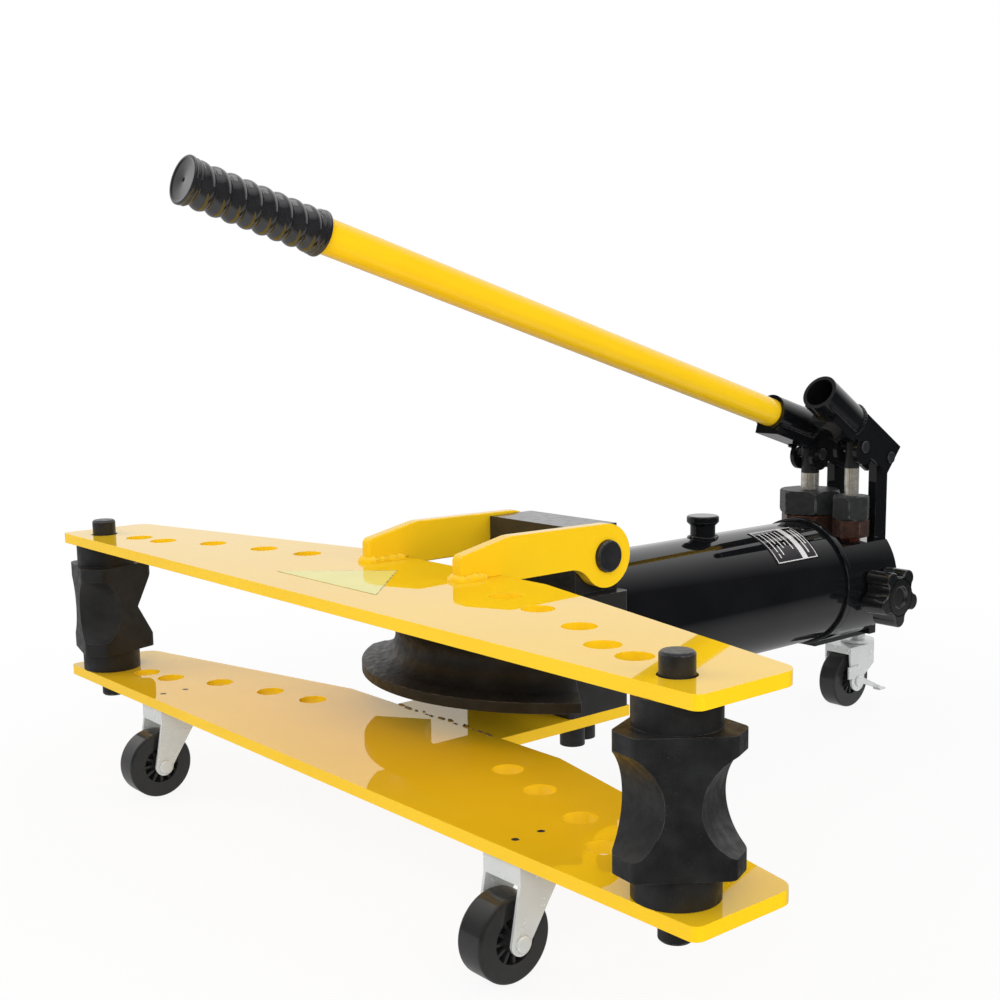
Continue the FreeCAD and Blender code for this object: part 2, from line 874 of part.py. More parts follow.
def lever_cheeks(x, tilt, low, high):
    track = slot_track(tilt, low, high)
    u_mid = (track[0][0] + track[-1][0]) / 2.0
    w_mid = -plungerPinDrop
    u_lobe = u_mid - lobeShift
    w_lobe = w_mid - lobeShift
    outline = [
        (-leverRear, leverTop),
        (-leverHeel, -leverUnderside),
        (u_lobe - lobeRadius, -leverBelly),
        (u_mid, w_mid),
        (leverEnd, w_mid),
        (leverEnd, leverTop),
    ]
    shapes = []
    for x0 in (x - leverOuter, x + leverGapHalf):
        corners = [lever_point(x0, u, w, tilt) for u, w in outline]
        cheek = prism(corners, point(leverSheet, 0, 0))
        lobe = rod(lobeRadius, leverSheet, lever_point(x0, u_lobe, w_lobe, tilt), xAxis)
        shapes.append(joined([cheek, lobe]))
    web = [
        (webFront, leverTop - webThickness),
        (leverEnd, leverTop - webThickness),
        (leverEnd, leverTop),
        (webFront, leverTop),
    ]
    corners = [lever_point(x - leverOuter, u, w, tilt) for u, w in web]
    shapes.append(prism(corners, point(2 * leverOuter, 0, 0)))
    return joined(shapes)


def socket_cradle(x, rise, tilt, end):
    shapes = []
    top = rise - cradleHeight
    low = rise - socketRadius - leverSheet + cradleLap
    strips = (
        (x - leverOuter, leverSheet, top),
        (x + leverGapHalf, leverSheet, top),
        (x - leverOuter, 2 * leverOuter, low + leverSheet),
    )
    for x0, width, strip_top in strips:
        side = [
            (socketStart, low),
            (end, low),
            (end, strip_top),
            (socketStart, strip_top),
        ]
        shapes.append(prism([lever_point(x0, u, w, tilt) for u, w in side], point(width, 0, 0)))
    return joined(shapes)


def lever_socket(x, tilt, low, high, socket_tilt, rise, mouth, setback):
    along = lever_point(0, 1, 0, socket_tilt) - lever_point(0, 0, 0, socket_tilt)
    length = mouth - socketStart
    tube = rod(socketRadius, length, lever_point(x, socketStart, rise, socket_tilt), along)
    floor = lever_point(x, socketStart + socketFloor, rise, socket_tilt)
    bore = rod(socketBoreRadius, length, floor, along)
    cheeks = lever_cheeks(x, tilt, low, high)
    pivot_start = point(x - 2 * leverOuter, pivotY, pivotZ)
    pivot = rod(pivotPinRadius + runningGap, 4 * leverOuter, pivot_start, xAxis)
    cradle = socket_cradle(x, rise, socket_tilt, mouth - setback)
    solid = joined([cheeks, tube, cradle])
    return cut_all(solid, [bore, pivot, lever_slot(x, tilt, low, high)])


def left_lever_socket():
    return lever_socket(
        -pumpX, leftLeverAngle, leftLeverLowAngle, leftLeverHighAngle,
        leftSocketAngle, leftSocketRise, leftSocketMouth, leftCradleSetback,
    )


def right_lever_socket():
    return lever_socket(
        pumpX, rightLeverAngle, rightLeverLowAngle, rightLeverHighAngle,
        rightSocketAngle, rightSocketRise, rightSocketMouth, rightCradleSetback,
    )


def swivel_foot():
    height = swivelFootTop - swivelFootBottom
    start = tankEnd + footFront
    bar = box(-footHalfWidth, footHalfWidth, start, swivelY, swivelFootBottom, swivelFootTop)
    end = rod(footHalfWidth, height, point(0, swivelY, swivelFootBottom), zAxis)
    body = rod(bodyRadius, bodyEnd - tankEnd, point(0, tankEnd, tankZ), yAxis)
    return joined([bar, end]).cut(body)


def lever_posts():
    y0 = bodyEnd + postBack
    y1 = y0 + postDepth
    plate_top = bodyFlat - postPlateTopDrop
    plate_end = bodyEnd + postPlateThickness
    plate = box(-postPlateHalfWidth, postPlateHalfWidth, bodyEnd, plate_end, swivelFootTop, plate_top)
    shapes = [plate, swivel_foot()]
    for x in (-pumpX, pumpX):
        shapes.append(box(x - postHalfWidth, x + postHalfWidth, y0, y1, tankZ, pivotZ))
        width = 2 * postHalfWidth
        shapes.append(rod(postTopRadius, width, point(x - postHalfWidth, y0 + postTopRadius, pivotZ), xAxis))
    solid = joined(shapes)
    tools = [rod(stemRadius, footThickness, point(0, swivelY, swivelFootBottom), zAxis)]
    for x in (-pumpX, pumpX):
        start = point(x - postHalfWidth, pivotY, pivotZ)
        tools.append(rod(pivotPinRadius, 2 * postHalfWidth, start, xAxis))
    return cut_all(solid, tools)


# Handle and grip lie on the axis of the left socket
def handle_place(u):
    return lever_point(-pumpX, u, leftSocketRise, leftSocketAngle)


def handle_direction():
    return handle_place(1.0) - handle_place(0.0)


def handle_start():
    return socketStart + socketFloor


def handle_tube():
    start = handle_place(handle_start())
    return pipe(handleRadius, handleRadius - handleWall, handleLength, start, handle_direction())


def handle_grip():
    end = handle_start() + handleLength + gripEndWall
    start = end - gripLength
    along = handle_direction()
    middle = gripLength - 2 * gripCapThickness
    shapes = [
        rod(gripCapRadius, gripCapThickness, handle_place(start), along),
        rod(gripRadius, middle, handle_place(start + gripCapThickness), along),
        rod(gripCapRadius, gripCapThickness, handle_place(end - gripCapThickness), along),
    ]
    solid = joined(shapes)
    sleeve = handle_start() + handleLength - start
    tools = [
        rod(handleRadius, sleeve, handle_place(start), along),
        rod(gripHoleRadius, gripLength, handle_place(start), along),
    ]
    return cut_all(solid, tools)


# Filler cap and the blank data plate
def filler_cap():
    head_z = fillerBossTop + runningGap
    plug = rod(fillerPlugRadius, fillerPlugLength, point(0, fillerY, head_z - fillerPlugLength), zAxis)
    head = rod(fillerHeadRadius, fillerHeadHeight, point(0, fillerY, head_z), zAxis)
    middle = head_z + fillerHeadHeight / 2.0
    rims = [e for e in head.Edges if len(e.Vertexes) == 1]
    head = head.makeChamfer(fillerHeadChamfer, [e for e in rims if e.CenterOfMass.z > middle])
    rims = [e for e in head.Edges if len(e.Vertexes) == 1]
    head = head.makeChamfer(fillerHeadTaper, [e for e in rims if e.CenterOfMass.z < middle])
    return joined([plug, head])


def data_plate():
    front = plateRear - plateLength
    inside = tankRadius + runningGap
    shell = pipe(inside + plateThickness, inside, plateLength, point(0, front, tankZ), yAxis)
    reach = 2.0 * tankRadius
    corners = [point(0, front, tankZ)]
    for degrees in (plateTopAngle, plateSideAngle):
        angle = math.radians(degrees)
        corners.append(point(reach * math.sin(angle), front, tankZ + reach * math.cos(angle)))
    return shell.common(prism(corners, point(0, plateLength, 0)))


# Front casters
def caster_screw_places():
    places = []
    for back in casterScrewBack:
        places.extend(both_sides(wheelX, casterFront + back))
    return tuple(places)


def front_caster_bracket(x):
    top = lowerWingBottom
    x0 = x - casterHalfWidth
    x1 = x + casterHalfWidth
    shapes = [
        box(x0, x1, casterFront, casterFront + casterDepth, top - casterSheet, top),
        box(x0, x1, casterFront, casterFront + casterSheet, top - casterSkirt, top),
    ]
    side = [
        (casterFront, top),
        (casterFront, top - casterSkirt),
        (wheelY - cheekTipRadius, wheelRadius),
        (wheelY, wheelRadius),
        (wheelY + cheekTipRadius, wheelRadius),
        (casterFront + casterCheekDepth, top - casterSkirt),
        (casterFront + casterCheekDepth, top),
    ]
    for start in (x0, x1 - casterSheet):
        corners = [point(start, y, z) for y, z in side]
        shapes.append(prism(corners, point(casterSheet, 0, 0)))
        shapes.append(rod(cheekTipRadius, casterSheet, point(start, wheelY, wheelRadius), xAxis))
    solid = joined(shapes)
    tools = [rod(axleRadius, 2 * casterHalfWidth, point(x0, wheelY, wheelRadius), xAxis)]
    for back in casterScrewBack:
        base = point(x, casterFront + back, top - casterSheet)
        tools.append(rod(casterScrewRadius, casterSheet, base, zAxis))
    return cut_all(solid, tools)


def caster_screws():
    screws = []
    for x, y in caster_screw_places():
        z0 = lowerWingBottom - casterSheet
        shank = rod(casterScrewRadius, casterSheet + wingThickness, point(x, y, z0), zAxis)
        head = rod(screwHeadRadius, screwHeadHeight, point(x, y, z0 - screwHeadHeight), zAxis)
        screws.append(joined([shank, head]))
    return Part.makeCompound(screws)


def wheel_spokes(x, y, z, half):
    reach = (dishRadius + hubRadius) / 2.0
    length = dishRadius - hubRadius
    spokes = []
    for number in range(spokeCount):
        spoke = box(-half, half, reach - length, reach + length, -spokeWidth / 2.0, spokeWidth / 2.0)
        spoke = turned(spoke, point(0, 0, 0), xAxis, 360.0 / spokeCount * number)
        spoke.translate(point(x, y, z))
        spokes.append(spoke)
    return spokes


def wheel(x, y, radius, width, hub_half):
    start = x - width / 2.0
    tread = rod(radius, width, point(start, y, radius), xAxis)
    rims = [e for e in tread.Edges if len(e.Vertexes) == 1]
    tread = tread.makeFillet(wheelEdgeRound, rims)
    for side in (start, start + width - dishDepth):
        tread = tread.cut(rod(dishRadius, dishDepth, point(side, y, radius), xAxis))
    shapes = [tread, rod(hubRadius, 2.0 * hub_half, point(x - hub_half, y, radius), xAxis)]
    shapes.extend(wheel_spokes(x, y, radius, width / 2.0 - spokeSink))
    bore = rod(axleRadius + runningGap, 2.0 * hub_half, point(x - hub_half, y, radius), xAxis)
    return joined(shapes).cut(bore)


def axle(x, y, z, half):
    shapes = [
        rod(axleRadius, 2 * half, point(x - half, y, z), xAxis),
        rod(axleHeadRadius, axleHeadHeight, point(x + half, y, z), xAxis),
        rod(axleHeadRadius, axleHeadHeight, point(x - half - axleHeadHeight, y, z), xAxis),
    ]
    return joined(shapes)


# Rear swivel caster
def swivel_stem():
    z0 = raceZ
    shank = rod(stemRadius, swivelFootTop - z0, point(0, swivelY, z0), zAxis)
    race = rod(raceRadius, raceThickness, point(0, swivelY, raceZ), zAxis)
    return joined([shank, race])


def stem_nut():
    z0 = swivelFootBottom - stemNutHeight
    nut = hex_prism(stemNutRadius, z0, swivelFootBottom, 0.0, swivelY, stemNutAngle)
    return nut.cut(rod(stemRadius, stemNutHeight, point(0, swivelY, z0), zAxis))


def swivel_fork():
    top = raceZ - forkGap
    disc = rod(forkTopRadius, forkSheet, point(0, swivelY, top - forkSheet), zAxis)
    x0 = forkHalfWidth + forkSheet
    front = swivelAxleY - forkFrontReach
    rear = swivelY + forkRearReach
    bridge = box(-x0, x0, front, rear, top - forkSheet, top)
    skirt = box(-x0, x0, front, front + forkSheet, top - forkSkirt, top)
    shapes = [disc, bridge, skirt]
    side = [
        (front, top),
        (front, top - forkFrontDrop),
        (swivelAxleY - forkTipRadius, rearWheelRadius),
        (swivelAxleY, rearWheelRadius),
        (swivelAxleY + forkTipRadius, rearWheelRadius),
        (rear, top - forkRearDrop),
        (rear, top),
    ]
    for start in (-x0, forkHalfWidth):
        corners = [point(start, y, z) for y, z in side]
        shapes.append(prism(corners, point(forkSheet, 0, 0)))
        shapes.append(rod(forkTipRadius, forkSheet, point(start, swivelAxleY, rearWheelRadius), xAxis))
    solid = joined(shapes)
    return solid.cut(rod(axleRadius, 2 * x0, point(-x0, swivelAxleY, rearWheelRadius), xAxis))


def brake_lever():
    x0 = forkHalfWidth + forkSheet + brakeGap
    x1 = x0 + brakeSheet
    y = swivelAxleY
    z = rearWheelRadius
    tip_y = y + brakeArmLength
    tip_z = z - brakeArmDrop
    half = brakeArmHeight / 2.0
    side = [
        (y + brakeArmRoot, z + half),
        (y + brakeArmRoot, z - half),
        (tip_y, tip_z - half),
        (tip_y, tip_z),
    ]
    arm = prism([point(x0, along, up) for along, up in side], point(brakeSheet, 0, 0))
    shapes = [
        rod(brakePlateRadius, brakeSheet, point(x0, y, z), xAxis),
        box(x0, x1, y - brakeEarFront, y + brakeEarRear, z + brakeEarBottom, z + brakeEarTop),
        arm,
        box(x0, x0 + brakeTreadWidth, tip_y - brakeTreadLength, tip_y, tip_z - brakeSheet, tip_z),
    ]
    return joined(shapes).cut(rod(axleRadius + runningGap, brakeSheet, point(x0, y, z), xAxis))


def rear_axle():
    x0 = forkHalfWidth + forkSheet
    outer = x0 + 2 * brakeGap + brakeSheet
    y = swivelAxleY
    z = rearWheelRadius
    shapes = [
        rod(axleRadius, x0 + outer, point(-x0, y, z), xAxis),
        rod(axleHeadRadius, axleHeadHeight, point(outer, y, z), xAxis),
        rod(axleHeadRadius, axleHeadHeight, point(-x0 - axleHeadHeight, y, z), xAxis),
    ]
    return joined(shapes)


def plunger_bottom(tilt, low, high):
    travel_down = plunger_rate(tilt, low, high) * math.radians(-low)
    return barrelFloor + plungerFloor + travel_down + plungerSpare


def large_pump_parts():
    bottom = plunger_bottom(leftLeverAngle, leftLeverLowAngle, leftLeverHighAngle)
    pin_z = plunger_pin_z(leftLeverAngle)
    neck = largePlungerRadius + glandNeckWall
    hex_z0 = bodyFlat + largeWasherHeight
    hex_z1 = hex_z0 + largeHexHeight
    neck_top = hex_z1 + glandNeckHeight
    gland_z0 = hex_z1 + largeGlandLift
    gland_z1 = gland_z0 + largeGlandHeight
    shine = gland_z1 + largeShine
    x = -pumpX
    r = largePlungerRadius
    return {
        "large_copper_washer": copper_washer(x, largeWasherRadius, largeStemRadius, largeWasherHeight),
        "large_pump_barrel": pump_barrel(
            x, largeStemRadius, hex_z0, hex_z1, largeHexRadius, neck, r, largeNutAngle
        ),
        "large_gland_nut": gland_nut(
            x, gland_z0, gland_z1, largeGlandRadius, neck, neck_top, r, largeNutAngle
        ),
        "large_plunger": plunger(x, r, bottom, shine),
        "large_plunger_eye": plunger_eye(x, r, shine, pin_z),
        "large_plunger_pin": headed_pin(x, pumpY, pin_z, plungerPinRadius),
    }


def small_pump_parts():
    bottom = plunger_bottom(rightLeverAngle, rightLeverLowAngle, rightLeverHighAngle)
    pin_z = plunger_pin_z(rightLeverAngle)
    neck = smallPlungerRadius + glandNeckWall
    hex_z0 = bodyFlat + smallWasherHeight
    hex_z1 = hex_z0 + smallHexHeight
    neck_top = hex_z1 + glandNeckHeight
    gland_z0 = hex_z1 + smallGlandLift
    gland_z1 = gland_z0 + smallGlandHeight
    shine = gland_z1 + smallShine
    x = pumpX
    r = smallPlungerRadius
    return {
        "small_copper_washer": copper_washer(x, smallWasherRadius, smallStemRadius, smallWasherHeight),
        "small_pump_barrel": pump_barrel(
            x, smallStemRadius, hex_z0, hex_z1, smallHexRadius, neck, r, smallHexAngle
        ),
        "small_gland_nut": gland_nut(
            x, gland_z0, gland_z1, smallGlandRadius, neck, neck_top, r, smallGlandAngle
        ),
        "small_plunger": plunger(x, r, bottom, shine),
        "small_plunger_eye": plunger_eye(x, r, shine, pin_z),
        "small_plunger_pin": headed_pin(x, pumpY, pin_z, plungerPinRadius),
    }


def machine():
    front_hub_half = casterHalfWidth - casterSheet - hubPlay
    rear_hub_half = forkHalfWidth - hubPlay
    nodes = {
        "lower_wing_plate": lower_wing_plate(),
        "upper_wing_plate": upper_wing_plate(),
        "left_hinge_arm": mirrored(hinge_arm()),
        "right_hinge_arm": hinge_arm(),
        "hinge_pin": hinge_pin(),
        "front_block": front_block(),
        "block_bolts": block_bolts(),
        "left_roller": roller(-rollerHole[0], leftRollerAngle),
        "right_roller": roller(rollerHole[0], rightRollerAngle),
        "left_roller_pin": roller_pin(-rollerHole[0]),
        "right_roller_pin": roller_pin(rollerHole[0]),
        "oil_tank": oil_tank(),
        "filler_boss": filler_boss(),
        "tank_end_ring": tank_end_ring(),
        "ram_cylinder": ram_cylinder(),
        "ram": ram(),
        "ram_piston": ram_piston(),
        "bending_former": bending_former(),
        "pump_body": pump_body(),
        "release_spindle": release_spindle(),
        "release_knob": release_knob(),
        "left_lever_socket": left_lever_socket(),
        "right_lever_socket": right_lever_socket(),
        "left_pivot_pin": headed_pin(-pumpX, pivotY, pivotZ, pivotPinRadius),
        "right_pivot_pin": headed_pin(pumpX, pivotY, pivotZ, pivotPinRadius),
        "lever_posts": lever_posts(),
        "handle_tube": handle_tube(),
        "handle_grip": handle_grip(),
        "filler_cap": filler_cap(),
        "data_plate": data_plate(),
        "left_caster_bracket": front_caster_bracket(-wheelX),
        "right_caster_bracket": front_caster_bracket(wheelX),
        "caster_screws": caster_screws(),
        "left_front_wheel": wheel(-wheelX, wheelY, wheelRadius, wheelWidth, front_hub_half),
        "right_front_wheel": wheel(wheelX, wheelY, wheelRadius, wheelWidth, front_hub_half),
        "left_axle": axle(-wheelX, wheelY, wheelRadius, casterHalfWidth),
        "right_axle": axle(wheelX, wheelY, wheelRadius, casterHalfWidth),
        "swivel_stem": swivel_stem(),
        "stem_nut": stem_nut(),
        "swivel_fork": swivel_fork(),
        "rear_wheel": wheel(0.0, swivelAxleY, rearWheelRadius, rearWheelWidth, rear_hub_half),
        "rear_axle": rear_axle(),
        "brake_lever": brake_lever(),
    }
    nodes.update(large_pump_parts())
    nodes.update(small_pump_parts())
    return nodes


def middle_shift(nodes):
    whole = None
    for shape in nodes.values():
        bounds = shape.optimalBoundingBox(False, False)
        if whole is None:
            whole = bounds
        else:
            whole.add(bounds)
    return point(0.0, -whole.Center.y, -whole.ZMin)


def write_parts():
    os.makedirs("parts", exist_ok=True)
    nodes = machine()
    shift = middle_shift(nodes)
    for name, shape in nodes.items():
        moved = shape.copy()
        moved.translate(shift)
        moved.exportStep("parts/" + name + ".step")
        print(name, moved.isValid(), len(moved.Solids), round(moved.Volume, 1))
    print("shift", shift)


if __name__ == "__main__":
    write_parts()
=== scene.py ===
import json
import math
import random

import bmesh
import bpy
from mathutils import Matrix, Vector, noise


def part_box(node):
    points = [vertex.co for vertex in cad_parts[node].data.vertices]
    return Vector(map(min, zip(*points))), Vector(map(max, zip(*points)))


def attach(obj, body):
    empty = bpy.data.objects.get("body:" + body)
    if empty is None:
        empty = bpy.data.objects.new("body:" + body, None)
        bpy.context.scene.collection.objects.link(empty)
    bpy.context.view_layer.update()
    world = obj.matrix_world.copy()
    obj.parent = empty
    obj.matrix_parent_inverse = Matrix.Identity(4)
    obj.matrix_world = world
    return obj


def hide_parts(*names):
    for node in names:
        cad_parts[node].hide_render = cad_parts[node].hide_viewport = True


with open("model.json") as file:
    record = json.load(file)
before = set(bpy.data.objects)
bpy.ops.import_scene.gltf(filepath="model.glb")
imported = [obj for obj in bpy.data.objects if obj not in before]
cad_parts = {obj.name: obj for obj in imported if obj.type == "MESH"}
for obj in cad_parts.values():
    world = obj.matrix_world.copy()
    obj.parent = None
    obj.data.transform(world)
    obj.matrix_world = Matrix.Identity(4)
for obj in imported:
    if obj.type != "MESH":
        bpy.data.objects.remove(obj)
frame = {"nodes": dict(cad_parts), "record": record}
nodes = frame["nodes"]
slotOf = {part["node"]: part["material_slot"] for part in frame["record"]["subparts"]}
bodyOf = {}
for body, members in frame["record"]["behaviour"]["bodies"].items():
    for member in members:
        bodyOf[member] = body
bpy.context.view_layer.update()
random.seed(11)
noise.seed_set(11)
print("frame loaded,", len(nodes), "pieces")

# the shapes below are written in the drawing's millimetres, whose y is 0 at the wings' front edge
drawnMiddle = -1000.0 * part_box("upper_wing_plate")[0].y


def at(x, y, z):
    return Vector((x, y - drawnMiddle, z)) / 1000.0


# a drawn piece's lowest and highest corner in the drawing's millimetres, to a hundredth
def drawnBox(node):
    shift = (0.0, drawnMiddle, 0.0)
    return [[round(1000.0 * v + move, 2) for v, move in zip(corner, shift)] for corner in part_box(node)]


# finishes
def addNode(tree, kind, settings=None, sockets=None):
    node = tree.nodes.new("ShaderNode" + kind)
    for name, value in (settings or {}).items():
        setattr(node, name, value)
    for name, value in (sockets or {}).items():
        node.inputs[name].default_value = value
    return node


def noiseNode(tree, coords, size, detail=3.0, stretch=None):
    source = coords
    if stretch:
        mapping = addNode(tree, "Mapping", sockets={"Scale": stretch})
        tree.links.new(source, mapping.inputs["Vector"])
        source = mapping.outputs["Vector"]
    node = addNode(tree, "TexNoise", sockets={"Scale": 1.0 / size, "Detail": detail})
    tree.links.new(source, node.inputs["Vector"])
    return node.outputs["Fac"]


def remap(tree, value, low, high, start=0.35, end=0.65):
    ends = {"From Min": start, "From Max": end, "To Min": low, "To Max": high}
    node = addNode(tree, "MapRange", sockets=ends)
    tree.links.new(value, node.inputs["Value"])
    return node.outputs["Result"]


def mixColour(tree, share, first, second):
    node = addNode(tree, "Mix", {"data_type": "RGBA"})
    tree.links.new(share, node.inputs["Factor"])
    for socket, value in ((6, first), (7, second)):
        if isinstance(value, tuple):
            node.inputs[socket].default_value = (*value, 1.0)
        else:
            tree.links.new(value, node.inputs[socket])
    return node.outputs[2]


def times(tree, value, factor):
    node = addNode(tree, "Math", {"operation": "MULTIPLY"})
    tree.links.new(value, node.inputs[0])
    if isinstance(factor, float):
        node.inputs[1].default_value = factor
    else:
        tree.links.new(factor, node.inputs[1])
    return node.outputs[0]


# where the edge colour shows on the rounded edges, in patches: partly paint worn through, partly a painted
# highlight; and how soft a speck's rim is
edgePatches = {"patch": 0.006, "detail": 4.0, "from": 0.4, "to": 0.62}
speckRim = 0.02


# colour: main and second colour, and the size of the patches between them
# specks: colour, size and how much of the surface; on the rounded edges: a colour partly of worn paint and
# partly a painted highlight, and how much of it shows
# rough: least, most, size; grain: sizes and heights of the surface's unevenness
def finishMaterial(name, look):
    material = bpy.data.materials.new(name)
    material.use_nodes = True
    tree = material.node_tree
    tree.nodes.clear()
    out = addNode(tree, "OutputMaterial")
    shader = addNode(tree, "BsdfPrincipled", sockets=look.get("fixed", {}))
    tree.links.new(shader.outputs[0], out.inputs["Surface"])
    coords = addNode(tree, "TexCoord").outputs["Object"]
    stretch = look.get("stretch")
    first, second, patch = look["colour"]
    colour = mixColour(tree, remap(tree, noiseNode(tree, coords, patch), 0.0, 1.0), first, second)
    if "specks" in look:
        speck, size, amount = look["specks"]
        least = 1.0 - amount
        share = remap(tree, noiseNode(tree, coords, size, 2.0), 0.0, 1.0, least, least + speckRim)
        colour = mixColour(tree, share, colour, speck)
    # the rounded edges take their own colour in patches: partly paint worn through, partly a painted
    # highlight where the edges catch the light
    if "edge_tone" in look:
        edge_tone, amount = look["edge_tone"]
        edge = addNode(tree, "Attribute", {"attribute_name": "edge_tone"}).outputs["Fac"]
        patches = noiseNode(tree, coords, edgePatches["patch"], edgePatches["detail"])
        edgeShare = remap(tree, patches, 0.0, amount, edgePatches["from"], edgePatches["to"])
        colour = mixColour(tree, times(tree, edge, edgeShare), colour, edge_tone)
    tree.links.new(colour, shader.inputs["Base Color"])
    least, most, size = look["rough"]
    sheen = remap(tree, noiseNode(tree, coords, size, 4.0, stretch), least, most)
    tree.links.new(sheen, shader.inputs["Roughness"])
    normal = None
    for size, height in look.get("grain", ()):
        bump = addNode(tree, "Bump", sockets={"Strength": 1.0, "Distance": height})
        tree.links.new(noiseNode(tree, coords, size, 2.0, stretch), bump.inputs["Height"])
        if normal:
            tree.links.new(normal, bump.inputs["Normal"])
        normal = bump.outputs["Normal"]
    if normal:
        tree.links.new(normal, shader.inputs["Normal"])
    return material


